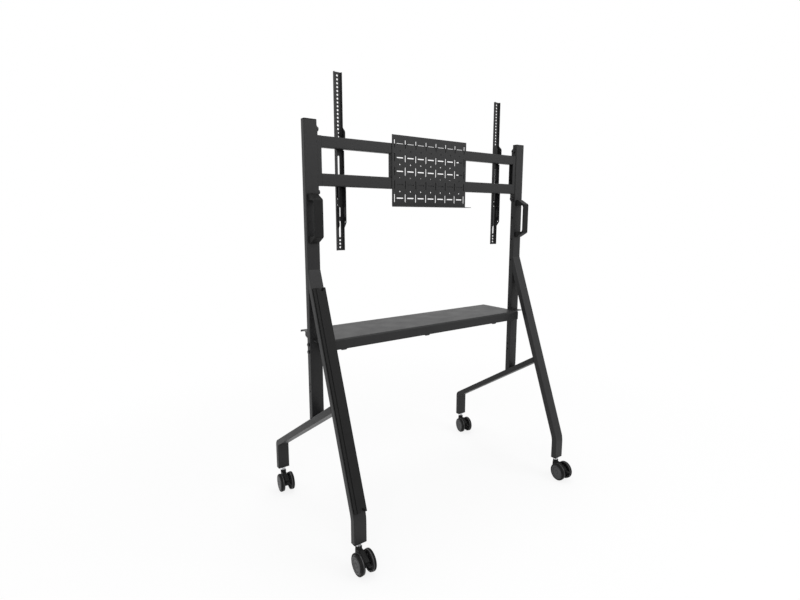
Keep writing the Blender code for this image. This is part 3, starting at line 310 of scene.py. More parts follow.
def carried(outline, stations, headings, x, cut):
    """Rings of an outline carried along a line in side view: station + u along X + v along the heading's
    normal. The first ring slides along its heading onto the plane cut = (point, normal)."""
    normal = np.stack([-headings[:, 1], headings[:, 0]], -1)
    side = stations[:, None] + outline[None, :, 1:] * normal[:, None]
    across = np.broadcast_to(x + outline[:, 0], side.shape[:2])
    point, facing = (np.array(v, float) for v in cut)
    slide = (point - side[0]) @ facing / (headings[0] @ facing)
    side[0] += slide[:, None] * headings[0]
    return np.concatenate([across[..., None], side], -1)


def tube(name, node, path, bend, x, cut):
    """A bent or straight tube: its outer skin, then its bore back to the start, joined at both ends."""
    if bend:
        stations, headings = bent_line(path, bend)
    else:
        stations = np.array(path, float)
        step = stations[1] - stations[0]
        headings = np.broadcast_to(step / np.linalg.norm(step), (2, 2))
    half = np.array(TUBE) / 2
    outer = rectangle(-half[0], half[0], -half[1], half[1], TUBE_CORNER)
    half = half - TUBE_WALL
    inner = rectangle(-half[0], half[0], -half[1], half[1], TUBE_CORNER - TUBE_WALL)
    skin = carried(outer, stations, headings, x, cut)
    bore = carried(inner, stations, headings, x, cut)[::-1]
    rings = np.concatenate([skin, bore])
    faces = grid_faces(len(rings), rings.shape[1], closed=True)
    return add_piece(name, rings, faces, powder_coat, "frame", "frame_paint", [node])


def prism(outlines, along, low, high):
    """Solid bars: each outline (u, v) carried straight along one axis from low to high, with flat ends."""
    outlines = np.asarray(outlines, float)
    outlines = outlines[None] if outlines.ndim == 2 else outlines
    count, around, _ = outlines.shape
    flat = np.broadcast_to(outlines[:, None], (count, 2, around, 2))
    height = np.broadcast_to(np.array([low, high])[None, :, None, None], (count, 2, around, 1))
    order = {"X": (2, 0, 1), "Y": (0, 2, 1), "Z": (0, 1, 2)}[along]
    points = np.concatenate([flat, height], -1)[..., order]
    sides = np.array(grid_faces(2, around))
    base = np.arange(count)[:, None] * 2 * around
    sides = (base[:, None] + sides[None]).reshape(-1, 4).tolist()
    ends = np.concatenate([base + np.arange(around), base + around + np.arange(around)]).tolist()
    return points.reshape(-1, 3), sides + ends


def applied(piece):
    """The piece's mesh with its modifiers worked in."""
    bpy.context.view_layer.update()
    graph = bpy.context.evaluated_depsgraph_get()
    return bpy.data.meshes.new_from_object(piece.evaluated_get(graph))


def carve(piece, points, faces, operation="DIFFERENCE", edge=0.0):
    """Cuts a solid out of a piece, or joins it on, and finishes the new edges."""
    piece.modifiers.clear()
    tool = add_piece("tool", points, faces, piece.data.materials[0])
    tool.modifiers.clear()
    boolean = piece.modifiers.new("Cut", "BOOLEAN")
    boolean.operation = operation
    boolean.object = tool
    carved = applied(piece)
    piece.modifiers.clear()
    piece.data = carved
    bpy.data.objects.remove(tool)
    finish_edges(piece, 40, edge)


def slots(centres, length, width, upright=False, steps=10):
    """Outlines of equal slots about their centres: half circles at both ends, length - width apart."""
    half = np.linspace(-np.pi / 2, np.pi / 2, steps + 1)
    angle = np.concatenate([half, half + np.pi])
    shift = np.repeat([0.5, -0.5], steps + 1) * (length - width)
    outline = np.stack([shift + width / 2 * np.cos(angle), width / 2 * np.sin(angle)], -1)
    if upright:
        outline = outline[:, ::-1] * [-1, 1]
    return np.asarray(centres, float)[:, None] + outline


tube_middle = REAR_FACE + TUBE[1] / 2
leg_across = TUBE[1] / 2 / math.cos(LEAN)
leg_corner = LEG_TOP - (LEG_FOOT + leg_across) / math.tan(LEAN)
leg_line = [
    (REAR_FACE + leg_across, LEG_TOP),
    (REAR_FACE - LEG_FOOT, leg_corner),
    (REAR_FACE - LEG_FOOT, FOOT_BOTTOM),
]
base_middle = BASE_TOP - TUBE[1] / 2 / math.cos(DROP)
base_line = [
    (REAR_FACE - BASE_START, base_middle + BASE_START * math.tan(DROP)),
    (REAR_FACE + BASE_FOOT, base_middle - BASE_FOOT * math.tan(DROP)),
    (REAR_FACE + BASE_FOOT, FOOT_BOTTOM),
]
# Each tube's first end is mitred against its neighbour: the post on the bar's upper face, the leg on
# the post's rear face, and the bar on the leg's front face
bar_up = (math.sin(DROP), math.cos(DROP))
leg_out = (math.cos(LEAN), -math.sin(LEAN))
post_cut = ((REAR_FACE + bar_up[0] * GAP, BASE_TOP + bar_up[1] * GAP), bar_up)
leg_cut = ((REAR_FACE - GAP, LEG_TOP), (1.0, 0.0))
leg_front = REAR_FACE + TUBE[1] / math.cos(LEAN)
base_cut = ((leg_front + leg_out[0] * GAP, LEG_TOP + leg_out[1] * GAP), leg_out)
spare_holes = slots([(tube_middle, z) for z in SPARE_HOLES], SMALL_HOLE, SMALL_HOLE)
bracket_holes = [(REAR_FACE + BRACKET_HOLE_IN, z) for z in BRACKET_HOLES]
inner_holes = np.concatenate([spare_holes, slots(bracket_holes, BRACKET_HOLE, BRACKET_HOLE)])
shelf_holes = slots([(tube_middle, z) for z in SHELF_HOLES], SMALL_HOLE, SMALL_HOLE)
for side, sign in SIDES:
    x = sign * POST_X
    post_line = [(tube_middle, BASE_TOP), (tube_middle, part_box(f"post_{side}")[1][2])]
    post = tube(f"post_tube_{side}", f"post_{side}", post_line, 0, x, post_cut)
    # The spare and bracket holes go through the inner wall only, the shelf's through both
    carve(post, *prism(inner_holes, "X", *sorted((x - sign * 0.015, x - sign * 0.035))))
    carve(post, *prism(shelf_holes, "X", x - 0.04, x + 0.04), edge=0.0004)
    tube(f"leg_tube_{side}", f"rear_leg_{side}", leg_line, LEG_BEND, x, leg_cut)
    tube(f"base_tube_{side}", f"base_bar_{side}", base_line, BASE_BEND, x, base_cut)


# Welds: short fillet beads across the tubes where they meet at a corner. The tube's sides lie
# flush, so the weld there is ground flat before painting.
WELD = 0.0024
WELD_LENGTH = 0.043
WELD_STEP = 0.0028
WELD_OUT = 0.0004
WELD_UP = 0.0008
WELD_PROUD = 0.0006
# The bead in the sharp corner under the leg sits this far behind the post and below the leg
UNDER_LEG = (0.0012, 0.0035)


def weld_bead(name, x, y, z):
    """A bead along X: circles whose radius ripples with the welder's steps and falls to zero at both ends,
    radius = WELD * (1 - 0.10 * |cos(pi * step)|) * (1 - end ** 8)."""
    along = np.linspace(-1, 1, 121)
    ripple = 1 - 0.10 * np.abs(np.cos(np.pi * along * WELD_LENGTH / 2 / WELD_STEP))
    radius = WELD * ripple * np.clip(1 - along ** 8, 0, 1)
    angle = np.linspace(0, 2 * np.pi, 16, endpoint=False)
    points = np.stack(np.broadcast_arrays(
        x + along[:, None] * WELD_LENGTH / 2,
        y + radius[:, None] * np.cos(angle),
        z + radius[:, None] * np.sin(angle)), -1)
    add_piece(name, points, grid_faces(121, 16), powder_coat, "frame", "frame_paint")


base_slope = math.tan(DROP)
leg_slope = math.tan(LEAN)
post_front = BASE_TOP - TUBE[1] * base_slope
leg_under = LEG_TOP - TUBE[1] / math.sin(LEAN)
bar_faces = (("upper", BASE_TOP, WELD_PROUD), ("lower", BASE_TOP - TUBE[1] / math.cos(DROP), -WELD_PROUD))
for side, sign in SIDES:
    x = sign * POST_X
    weld_bead(f"weld_post_rear_{side}", x, REAR_FACE - WELD_OUT, BASE_TOP + WELD_UP)
    weld_bead(f"weld_post_front_{side}", x, REAR_FACE + TUBE[1] + WELD_OUT, post_front + WELD_UP)
    weld_bead(f"weld_leg_under_{side}", x, REAR_FACE - UNDER_LEG[0], leg_under - UNDER_LEG[1])
    for place, height, lift in bar_faces:
        # The bar's face, height - slope * y, meets the leg's front face, leg_front - (LEG_TOP - z) * lean
        y = leg_front - leg_slope * (LEG_TOP - height - base_slope * REAR_FACE)
        y /= 1 + leg_slope * base_slope
        z = height + base_slope * (REAR_FACE - y)
        weld_bead(f"weld_base_{place}_{side}", x, y + WELD_PROUD, z + lift)


# Post caps: moulded nylon lids pressed into the tubes' tops, with a softly rounded rim.
# Nylon comes out of its mould with a fine even grain, and is duller and blacker than the paint.
# Its flow in the mould leaves patches about 35 mm wide a little paler or duller.
nylon = mottled("moulded_black_nylon", 0.035, 4.0, (0.42, 0.52), ("#1d1d1d", "#242424"),
                {"IOR": 1.53, "Specular IOR Level": 0.06})
tree = nylon.node_tree
shader = tree.nodes["Principled BSDF"]
place = tree.nodes["Texture Coordinate"].outputs["Object"]
# Spark-eroded mould grain, 0.3 mm on the real part, drawn at 1.2 mm
grain = add_node(tree, "ShaderNodeTexVoronoi", {"Vector": place, "Scale": 1 / 0.0012}).outputs["Distance"]
bump = {"Height": grain, "Distance": 0.00006, "Strength": 0.6}
tree.links.new(add_node(tree, "ShaderNodeBump", bump).outputs[0], shader.inputs["Normal"])

CAP_HEIGHT = 0.004
CAP_WALL = 0.0021
CAP_ROUND = 0.0015

for side in ("left", "right"):
    low, high = (np.array(corner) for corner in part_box(f"post_cap_{side}"))
    rim = rectangle(low[0], high[0], low[1], high[1], TUBE_CORNER, 8)
    middle = (low + high)[:2] / 2
    half = (high - low)[:2] / 2
    # Rings of the outline shrink inward and rise: a wall, a quarter round and a nearly flat crown
    turn = np.linspace(0, np.pi / 2, 7)
    inset = np.concatenate([[0.0], CAP_ROUND * (1 - np.cos(turn)), [0.008, TUBE[1] / 2]])
    rise = np.concatenate([[0.0], CAP_WALL + CAP_ROUND * np.sin(turn), [CAP_HEIGHT - 0.0001, CAP_HEIGHT]])
    rings = middle + (rim - middle) * ((half - inset[:, None]) / half)[:, None]
    level = np.broadcast_to((high[2] - CAP_HEIGHT + rise)[:, None, None], rings.shape[:2] + (1,))
    rings = np.concatenate([rings, level], -1)
    count = len(rim)
    ends = [list(range(count)), list(range((len(rings) - 1) * count, len(rings) * count))]
    add_piece(f"cap_lid_{side}", rings, grid_faces(len(rings), count) + ends, nylon, "frame",
              "black_plastic", [f"post_cap_{side}"], sharp=50)


# Rail frame: two steel tubes 25 mm deep between channel brackets, with two thinner upright struts
# flush with their rear. It is welded up, coated, and bolted to the posts through the brackets' tongues.
RAIL_WALL = 0.0018
RAIL_CORNER = 0.0035
STRUT = (0.030, 0.0185)
STRUT_X = 0.1845
STRUT_CORNER = 0.003
HOOK_SLOT = 0.009
HOOK_SLOT_DEPTH = 0.010


def dressed(node, material, body="frame", edge=0.0006, sharp=50):
    """A copy of a CAD node with its triangles merged into whole faces and its edges rounded."""
    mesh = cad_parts[node].data.copy()
    work = bmesh.new()
    work.from_mesh(mesh)
    bmesh.ops.remove_doubles(work, verts=work.verts, dist=0.000005)
    bmesh.ops.dissolve_limit(work, angle_limit=math.radians(0.4), verts=work.verts, edges=work.edges)
    work.to_mesh(mesh)
    work.free()
    mesh.materials.clear()
    mesh.materials.append(material)
    piece = bpy.data.objects.new(f"{node}_dressed", mesh)
    scene.collection.objects.link(piece)
    finish_edges(piece, sharp, edge)
    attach(piece, body)
    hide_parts(node)
    return piece


def straight_tube(name, node, along, u, v, corner):
    """A straight tube over a node's length: the outer outline at both ends, then the bore's outline back
    again, joined into one closed ring of walls."""
    low, high = (end["XYZ".index(along)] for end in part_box(node))
    outer = rectangle(*u, *v, corner, 8)
    inner = rectangle(u[0] + RAIL_WALL, u[1] - RAIL_WALL, v[0] + RAIL_WALL, v[1] - RAIL_WALL,
                      corner - RAIL_WALL, 8)
    loops = np.stack([outer, outer, inner, inner])
    ends = np.broadcast_to(np.array([low, high, high, low])[:, None, None], loops.shape[:2] + (1,))
    rings = np.concatenate([ends, loops] if along == "X" else [loops, ends], -1)
    faces = grid_faces(4, len(outer), closed=True)
    return add_piece(name, rings, faces, powder_coat, "frame", "frame_paint", [node])


for place in ("top", "bottom"):
    low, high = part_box(f"rail_{place}")
    rail = straight_tube(f"rail_tube_{place}", f"rail_{place}", "X", (low[1], high[1]),
                         (low[2], high[2]), RAIL_CORNER)
    if place == "top":
        middle = (low[1] + high[1]) / 2
        gap = rectangle(middle - HOOK_SLOT / 2, middle + HOOK_SLOT / 2,
                        high[2] - HOOK_SLOT_DEPTH, high[2] + HOOK_SLOT_DEPTH, 0.001, 2)
        carve(rail, *prism(gap, "X", low[0] - 0.1, high[0] + 0.1), edge=0.0004)
for side, sign in SIDES:
    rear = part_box(f"rail_strut_{side}")[0][1]
    across = (sign * STRUT_X - STRUT[0] / 2, sign * STRUT_X + STRUT[0] / 2)
    straight_tube(f"strut_tube_{side}", f"rail_strut_{side}", "Z", across, (rear, rear + STRUT[1]),
                  STRUT_CORNER)
    dressed(f"rail_bracket_{side}", powder_coat, edge=0.0007)


# Bolts: socket screws of blackened steel, two through each bracket's tongues and two through
# each post for the shelf. Blackening is a thin oxide with oil in it: dark, with a metal's sheen.
# The oil dries in patches about 6 mm wide.
black_steel = mottled("blackened_steel", 0.006, 4.0, (0.30, 0.44), ("#101011", "#1d1d1f"),
                      {"Specular IOR Level": 0.4})

SCREW_SHAFT = 0.0029
# Each screw's head width, head height and socket's half width
RAIL_SCREW = (0.016, 0.007, 0.0035)
SHELF_SCREW = (0.013, 0.004, 0.0022)


def turned(profile, steps):
    """A surface turned about X: each (radius, distance) of the profile becomes a ring."""
    profile = np.array(profile, float)
    angle = np.linspace(0, 2 * np.pi, steps, endpoint=False)
    points = np.stack(np.broadcast_arrays(
        profile[:, 1:2], profile[:, :1] * np.cos(angle), profile[:, :1] * np.sin(angle)), -1)
    return points, grid_faces(len(profile), steps)


def socket_screw(name, node, head, height, socket):
    """A screw along X with its head away from the post. The socket's rings are hexagons: at each angle
    the radius is the apothem / cos(angle from the flat's middle)."""
    low, high = (np.array(v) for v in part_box(node))
    middle = (low + high) / 2
    outward = -np.sign(middle[0]) if "rail" in node else np.sign(middle[0])
    tip = high[0] if outward > 0 else low[0]
    length = high[0] - low[0]
    round_off = 0.12 * height
    quarter = np.linspace(0, np.pi / 2, 6)
    profile = [(0.0, -0.55 * height), (socket * 0.98, -0.55 * height), (socket, -0.0004),
               (socket * 1.12, 0.0)]
    profile += [(head / 2 - round_off + round_off * math.sin(a), -round_off + round_off * math.cos(a))
                for a in quarter]
    profile += [(head / 2, -height + 0.0006), (head / 2 - 0.0006, -height), (SCREW_SHAFT, -height),
                (SCREW_SHAFT, 0.0006 - length), (SCREW_SHAFT - 0.0006, -length), (0.0, -length)]
    points, faces = turned(profile, 48)
    angle = np.linspace(0, 2 * np.pi, 48, endpoint=False)
    hexagon = np.cos((angle + np.pi / 6) % (np.pi / 3) - np.pi / 6)
    points[1:3, :, 1:] /= hexagon[None, :, None]
    points[:, :, 0] = tip + outward * points[:, :, 0]
    points[:, :, 1:] += middle[1:]
    add_piece(name, points, faces, black_steel, "frame", "black_steel", [node], sharp=35)


for side in ("left", "right"):
    for place in ("upper", "lower"):
        socket_screw(f"rail_screw_{place}_{side}", f"rail_bolt_{place}_{side}", *RAIL_SCREW)
        socket_screw(f"shelf_screw_{place}_{side}", f"shelf_bolt_{place}_{side}", *SHELF_SCREW)


# Accessory plate: 2 mm steel sheet, punched with rows of slots for straps and holes for screws,
# its bottom edge folded back into a ledge. It lies on the rails' rear faces.
SHEET = 0.002
PLATE_FOLD = 0.004
COLUMN_PITCH = 0.0524
ROW_PITCH = 0.052
COLUMNS = 8
ROWS = 5
FIRST_ROW = 0.0338
PUNCH = 0.0043
PUNCH_UPRIGHT = 0.032
PUNCH_LEVEL = 0.033
PUNCH_ROUND = 0.0055


def folded(line, radius, steps=8):
    """The outline of a sheet folded along a line of corners: the line moved half a sheet to each side, the
    bends' arcs half a sheet larger outside and smaller inside."""
    line = np.array(line, float)
    step = np.diff(line, axis=0)
    step /= np.linalg.norm(step, axis=1)[:, None]
    normal = np.stack([-step[:, 1], step[:, 0]], -1)
    into, out = np.vstack([normal[:1], normal]), np.vstack([normal, normal[-1:]])
    mitre = (into + out) / (1 + (into * out).sum(1))[:, None]
    turn = step[:-1, 0] * step[1:, 1] - step[:-1, 1] * step[1:, 0]
    inside = np.sign(np.concatenate([[0.0], turn, [0.0]]))
    left = np.where(inside, radius - inside * SHEET / 2, 0.0)
    right = np.where(inside, radius + inside * SHEET / 2, 0.0)
    corners = np.vstack([line + mitre * SHEET / 2, (line - mitre * SHEET / 2)[::-1]])
    return fillet(corners, np.concatenate([left, right[::-1]]), steps)


low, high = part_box("accessory_plate")
front = high[1]
ledge = low[2] + PLATE_FOLD + SHEET / 2
profile = folded([(front - SHEET / 2, high[2]), (front - SHEET / 2, ledge), (low[1], ledge)], PLATE_FOLD)
points, faces = prism(profile, "X", low[0], high[0])
plate = add_piece("plate_sheet", points, faces, powder_coat, "frame", "frame_paint", ["accessory_plate"])
column = (np.arange(COLUMNS) - (COLUMNS - 1) / 2) * COLUMN_PITCH
between_columns = column[:-1] + COLUMN_PITCH / 2
row = high[2] - FIRST_ROW - np.arange(ROWS) * ROW_PITCH
upright = np.stack(np.meshgrid(column, row), -1).reshape(-1, 2)
level = np.stack(np.meshgrid(between_columns, row), -1).reshape(-1, 2)
rounds = np.stack(np.meshgrid(between_columns, row[:-1] - ROW_PITCH / 2), -1).reshape(-1, 2)
through = (front - 0.010, front + 0.010)
carve(plate, *prism(slots(upright, PUNCH_UPRIGHT, PUNCH, upright=True, steps=6), "Y", *through))
carve(plate, *prism(slots(level, PUNCH_LEVEL, PUNCH, steps=6), "Y", *through))
carve(plate, *prism(slots(rounds, PUNCH_ROUND, PUNCH_ROUND, steps=7), "Y", *through), edge=0.0003)


# Screen arms: 2 mm sheet folded into a channel, punched for the television's screws. Their side
# walls reach back between the rails, and rise over the top rail as hooks with a tooth in its slot.
ARM = (0.0315, 0.010)
ARM_SHIFT = 0.0012
ARM_BULGE = 0.0060
ARM_CORNER = 0.0012
ARM_HOLE = 0.0075
ARM_PITCH = 0.01325
ARM_END = 0.012
HOLES_ABOVE = 17
HOLES_BELOW = 3
TOOTH_DROP = 0.0075
HOOK_BACK = 0.024
HOOK_TOP = 0.040
# How far each arm's small holes lie beside its middle and, two heights, under the bottom rail
SIDE_HOLES = {"left": (-0.0090, 0.0430, 0.0650), "right": (0.0012, 0.0375, 0.0580)}
SIDE_HOLE = 0.005
# Long slots: length and width, then how far the middle lies under the rail. The foot's slot runs
# from above the lowest holes to a height under the bottom rail
RAIL_SLOT = (0.079, 0.0074)
RAIL_SLOT_DROP = 0.0995
RAIL_SLOT_SHIFT = -0.0004
SPRING_SLOT = (0.038, 0.0073)
SPRING_SLOT_DROP = 0.0920
FOOT_SLOT_WIDTH = 0.0076
FOOT_SLOT_START = 0.0095
FOOT_SLOT_DROP = 0.124

rail_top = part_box("rail_top")[1][2]
rail_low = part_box("rail_bottom")[0][2]
between = (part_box("rail_bottom")[1][2] + 0.002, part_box("rail_top")[0][2] - 0.002)
rail_middle = (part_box("rail_top")[0][1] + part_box("rail_top")[1][1]) / 2
tooth = (rail_middle - (HOOK_SLOT / 2 - 3 * GAP), rail_middle + HOOK_SLOT / 2 - 3 * GAP)
seat = rail_top + GAP
for side, sign in SIDES:
    low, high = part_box(f"vesa_arm_{side}")
    x = (low[0] + high[0]) / 2 + sign * ARM_SHIFT
    back, face = high[1] - ARM[1], high[1]
    wall = fillet(
        [(back, low[2]), (back, between[0]), (back - ARM_BULGE, between[0]), (back - ARM_BULGE, between[1]),
         (back, between[1]), (back, seat), (tooth[1], seat), (tooth[1], seat - TOOTH_DROP),
         (tooth[0], seat - TOOTH_DROP), (tooth[0], seat + HOOK_BACK), (back, seat + HOOK_TOP),
         (back, high[2]), (face, high[2]), (face, low[2])],
        [0.003, 0.0, 0.002, 0.002, 0.0, 0.0, 0.0, 0.001, 0.003, 0.012, 0.008, 0.003, 0.0, 0.0], 10)
    arm = add_piece(f"screen_arm_{side}", *prism(wall, "X", x - ARM[0] / 2, x + ARM[0] / 2), powder_coat,
                    f"arm_{side}", "frame_paint", [f"vesa_arm_{side}"])
    inside = ARM[0] / 2 - SHEET
    hollow = fillet(
        [(x - inside, back - 0.1), (x + inside, back - 0.1), (x + inside, face - SHEET),
         (x - inside, face - SHEET)],
        [0.0, 0.0, ARM_CORNER, ARM_CORNER], 4)
    carve(arm, *prism(hollow, "Z", low[2] - 0.1, high[2] + 0.1))
    through = (back, face + 0.01)
    heights = np.concatenate([high[2] - ARM_END - np.arange(HOLES_ABOVE) * ARM_PITCH,
                              low[2] + ARM_END + np.arange(HOLES_BELOW) * ARM_PITCH])
    screw_holes = np.stack([0 * heights + x, heights], -1)
    carve(arm, *prism(slots(screw_holes, ARM_HOLE, ARM_HOLE, steps=10), "Y", *through))
    shift, *drops = SIDE_HOLES[side]
    side_holes = [(x + shift, rail_low - drop) for drop in drops]
    carve(arm, *prism(slots(side_holes, SIDE_HOLE, SIDE_HOLE, steps=8), "Y", *through))
    foot_slot = (low[2] + FOOT_SLOT_START + HOLES_BELOW * ARM_PITCH, rail_low - FOOT_SLOT_DROP)
    long_slots = np.concatenate([
        slots([(x, sum(foot_slot) / 2)], foot_slot[1] - foot_slot[0], FOOT_SLOT_WIDTH, upright=True),
        slots([(x, rail_low - SPRING_SLOT_DROP)], *SPRING_SLOT, upright=True),
        slots([(x + RAIL_SLOT_SHIFT, rail_top - RAIL_SLOT_DROP)], *RAIL_SLOT, upright=True)])
    carve(arm, *prism(long_slots, "Y", *through), edge=0.0004)


# Arm latches: a bent plate of blackened steel that slides in each arm and stops under the bottom
# rail. Its left side is the lower one, cut back to a rib beside the arm's small holes, and its
# foot is cut at a slant up to the arm's back.
LATCH_LOW_SIDE = 0.0093
LATCH_FOOT = 0.010
LATCH_SLANT = 0.0353

for side in ("left", "right"):
    latch = dressed(f"arm_latch_{side}", black_steel, f"latch_{side}", edge=0.0003)
    low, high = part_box(f"arm_latch_{side}")
    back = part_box(f"vesa_arm_{side}")[1][1] - ARM[1]
    first_drop, last_drop = SIDE_HOLES[side][1:]
    left_plate = (low[0] - 0.001, low[0] + 0.004)
    above = rectangle(*left_plate, low[1] - 0.001, low[1] + LATCH_LOW_SIDE, 0.0004, 2)
    carve(latch, *prism(above, "Z", low[2] - 0.001, high[2] + 0.001))
    beside = rectangle(*left_plate, low[1] + 0.005, high[1] - 0.002, 0.0004, 2)
    carve(latch, *prism(beside, "Z", rail_low - last_drop - 0.005, rail_low - first_drop + 0.005))
    below = [(low[1] - 0.001, low[2] - 0.001), (high[1] + 0.001, low[2] - 0.001),
             (high[1] + 0.001, low[2] + LATCH_FOOT), (back, low[2] + LATCH_FOOT),
             (low[1] - 0.001, low[2] + LATCH_SLANT)]
    carve(latch, *prism(below, "X", low[0] - 0.001, high[0] + 0.001), edge=0.0003)


# Handles: glass-filled nylon mouldings screwed to the posts' rear faces. The ends lean in to
# the grip, and all edges are rounded for the hand.
HANDLE_WIDTH = 0.035
HANDLE_OUT = 0.0020
HANDLE_FOOT = 0.010
GRIP_DEEP = 0.006
GRIP_INSIDE = 0.062
GRIP_OUTSIDE = 0.066

for side, sign in SIDES:
    low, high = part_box(f"handle_{side}")
    x, foot, grip = sign * POST_X, high[1], low[1] - HANDLE_OUT
    middle, half = (low[2] + high[2]) / 2, (high[2] - low[2]) / 2
    inner = grip + GRIP_DEEP
    outline = fillet(
        [(foot, middle - half), (foot, middle - GRIP_INSIDE), (inner, middle - GRIP_INSIDE),
         (inner, middle + GRIP_INSIDE), (foot, middle + GRIP_INSIDE), (foot, middle + half),
         (foot - HANDLE_FOOT, middle + half), (grip, middle + GRIP_OUTSIDE),
         (grip, middle - GRIP_OUTSIDE), (foot - HANDLE_FOOT, middle - half)],
        [0.0, 0.004, 0.010, 0.010, 0.004, 0.0, 0.005, 0.008, 0.008, 0.005], 8)
    points, faces = prism(outline, "X", x - HANDLE_WIDTH / 2, x + HANDLE_WIDTH / 2)
    add_piece(f"handle_moulding_{side}", points, faces, nylon, "frame", "black_plastic",
              [f"handle_{side}"], edge=0.0022, segments=4)


# Cable cover: an extruded nylon channel on the left leg's rear face, its side walls set in under
# the lid, with a groove down the outer face and a finger notch at each end to pull it off by.
COVER_ENDS = (0.2080, 0.9490)
COVER_HALF = 0.0244
COVER_DEEP = 0.0126
COVER_WALL = 0.002
COVER_LID = 0.0030
COVER_FOOT = 0.0020
COVER_SET_IN = 0.006
GROOVE = (-0.0165, -0.0130)
GROOVE_DEEP = 0.0030
GROOVE_DRAFT = 0.0006
NOTCH_X = 0.0078
NOTCH = (0.028, 0.017)
NOTCH_DEEP = 0.0061

cover_middle = sum(COVER_ENDS) / 2
cover_length = (COVER_ENDS[1] - COVER_ENDS[0]) / math.cos(LEAN)
side_wall = COVER_HALF - COVER_SET_IN
inside = side_wall - COVER_WALL
groove_floor = -COVER_DEEP + GROOVE_DEEP
right_half = [
    (COVER_HALF, -COVER_DEEP), (COVER_HALF, -COVER_DEEP + COVER_LID), (side_wall, -COVER_DEEP + COVER_LID),
    (side_wall, -COVER_FOOT), (COVER_HALF, -COVER_FOOT), (COVER_HALF, 0.0), (inside, 0.0),
    (inside, groove_floor + COVER_WALL)]
right_radii = [0.0016, 0.0006, 0.0008, 0.0006, 0.0003, 0.0003, 0.0003, 0.001]
left_half = [(-u, v) for u, v in right_half[::-1]]
groove = [(GROOVE[0] - GROOVE_DRAFT, -COVER_DEEP), (GROOVE[0], groove_floor),
          (GROOVE[1], groove_floor), (GROOVE[1] + GROOVE_DRAFT, -COVER_DEEP)]
section = fillet(left_half + groove + right_half, right_radii[::-1] + [0.0005] * 4 + right_radii, 5)


def lean_with_leg(points):
    """Turns points about X to the leg's slope and moves them onto its rear face."""
    x, y, z = np.asarray(points, float).reshape(-1, 3).T
    y, z = y * math.cos(LEAN) + z * math.sin(LEAN), -y * math.sin(LEAN) + z * math.cos(LEAN)
    y += REAR_FACE - (LEG_TOP - cover_middle) * math.tan(LEAN) - GAP * math.cos(LEAN)
    z += cover_middle + GAP * math.sin(LEAN)
    return np.stack([x - POST_X, y, z], -1)


points, faces = prism(section, "Z", -cover_length / 2, cover_length / 2)
cover = add_piece("cover_channel", lean_with_leg(points), faces, nylon, "frame", "black_plastic",
                  ["cable_cover"])
notches = slots([(NOTCH_X, cover_length / 2), (NOTCH_X, -cover_length / 2)], *NOTCH, upright=True, steps=12)
points, faces = prism(notches, "Y", -COVER_DEEP - 0.006, -COVER_DEEP + NOTCH_DEEP)
carve(cover, lean_with_leg(points), faces, edge=0.0004)


# Shelf: one folded steel sheet with a lip behind and a low hem in front, notched round the posts,
# on a bent bracket at each end. Three black steel hooks for cables hang under it.
dressed("shelf", powder_coat, edge=0.0005, sharp=40)
for side in ("left", "right"):
    dressed(f"shelf_bracket_{side}", powder_coat)
for place in ("left", "middle", "right"):
    dressed(f"shelf_hook_{place}", black_steel)


# Casters: twin wheels on one axle either side of a moulded hood, which swivels on a plated
# stem. The stem's plug fills the tube's end. A pedal behind the hood works the brake.
# Zinc plating over turned steel is pale, slightly blue, and clouded in patches about 4 mm wide.
zinc = mottled("zinc_plated_turned_steel", 0.004, 3.0, (0.30, 0.42), ("#e9eaec",), {"Metallic": 1.0})
tree = zinc.node_tree
shader = tree.nodes["Principled BSDF"]
place = tree.nodes["Texture Coordinate"].outputs["Object"]
# Turning marks are 0.1 mm apart on the real stem, and drawn at 6 mm so that they show
marks = {"Vector": place, "Scale": 1 / 0.0060, "Distortion": 0.4}
marks = add_node(tree, "ShaderNodeTexWave", marks, bands_direction="Z").outputs["Fac"]
bump = {"Height": marks, "Distance": 0.00003, "Strength": 0.5}
tree.links.new(add_node(tree, "ShaderNodeBump", bump).outputs[0], shader.inputs["Normal"])

# Wheel caps and ribs: grey-black polypropylene, moulded with a satin face that varies over 12 mm
polypropylene = mottled("moulded_polypropylene", 0.012, 4.0, (0.36, 0.48), ("#212122", "#2e2e30"),
                        {"IOR": 1.49})

# Treads: black polyurethane cast round the rim, smooth and rubbery, dusty in patches 9 mm wide
polyurethane = mottled("cast_black_polyurethane", 0.009, 6.0, (0.45, 0.65), ("#0a0a0a", "#151414"),
                       {"Specular IOR Level": 0.12})

# How far each caster is turned about its stem, in degrees
SWIVELS = {"rear_left": -2.3, "rear_right": -6.0, "front_left": -6.4, "front_right": -11.4}
# An axle trails its stem by TRAIL, and the rear stems stand STEM_BACK behind the posts
TRAIL = 0.0364
STEM_BACK = 0.286
# The CAD's wheel has 24 corners at WHEEL_OUT. This one is the circle that touches its flats
WHEEL_OUT = 0.0390
WHEEL_RADIUS = WHEEL_OUT * math.cos(math.pi / 24)
WHEEL_WIDTH = 0.0225
WHEEL_SPACE = 0.0190
# A shallow groove rings the tread between its two bands, left in the paler polypropylene as a painted
# highlight
HIGHLIGHT_RING_RADIUS = WHEEL_RADIUS - 0.0009
RIM_BACK = 0.0038
PAINTED_HIGHLIGHT_RING_BACK = 0.0082
TREAD_BACK = 0.0116
TREAD_INSIDE = 0.0328
DISH = 0.0170
HUB = 0.0110
RIBS = 9
RIB_HALF = 0.0009
# The turned pieces' radii, then the heights of their ends
COLLAR = (0.01075, 0.0822, 0.0947)
SPIGOT = (0.0060, 0.1050)
PIN = (0.0055, 0.0590)
BOSS = (0.0120, 0.0819)
HOOD_AHEAD = 0.0105
PLUG_HEIGHT = 0.018
PLUG_BORE = 0.0126
PLUG_BORE_DEEP = 0.0095
PEDAL_BACK = 0.054
PEDAL_HEIGHT = 0.048
PEDAL_REACH = 0.029
PEDAL_HALF = 0.00625
PEDAL_ROOM = 0.00435


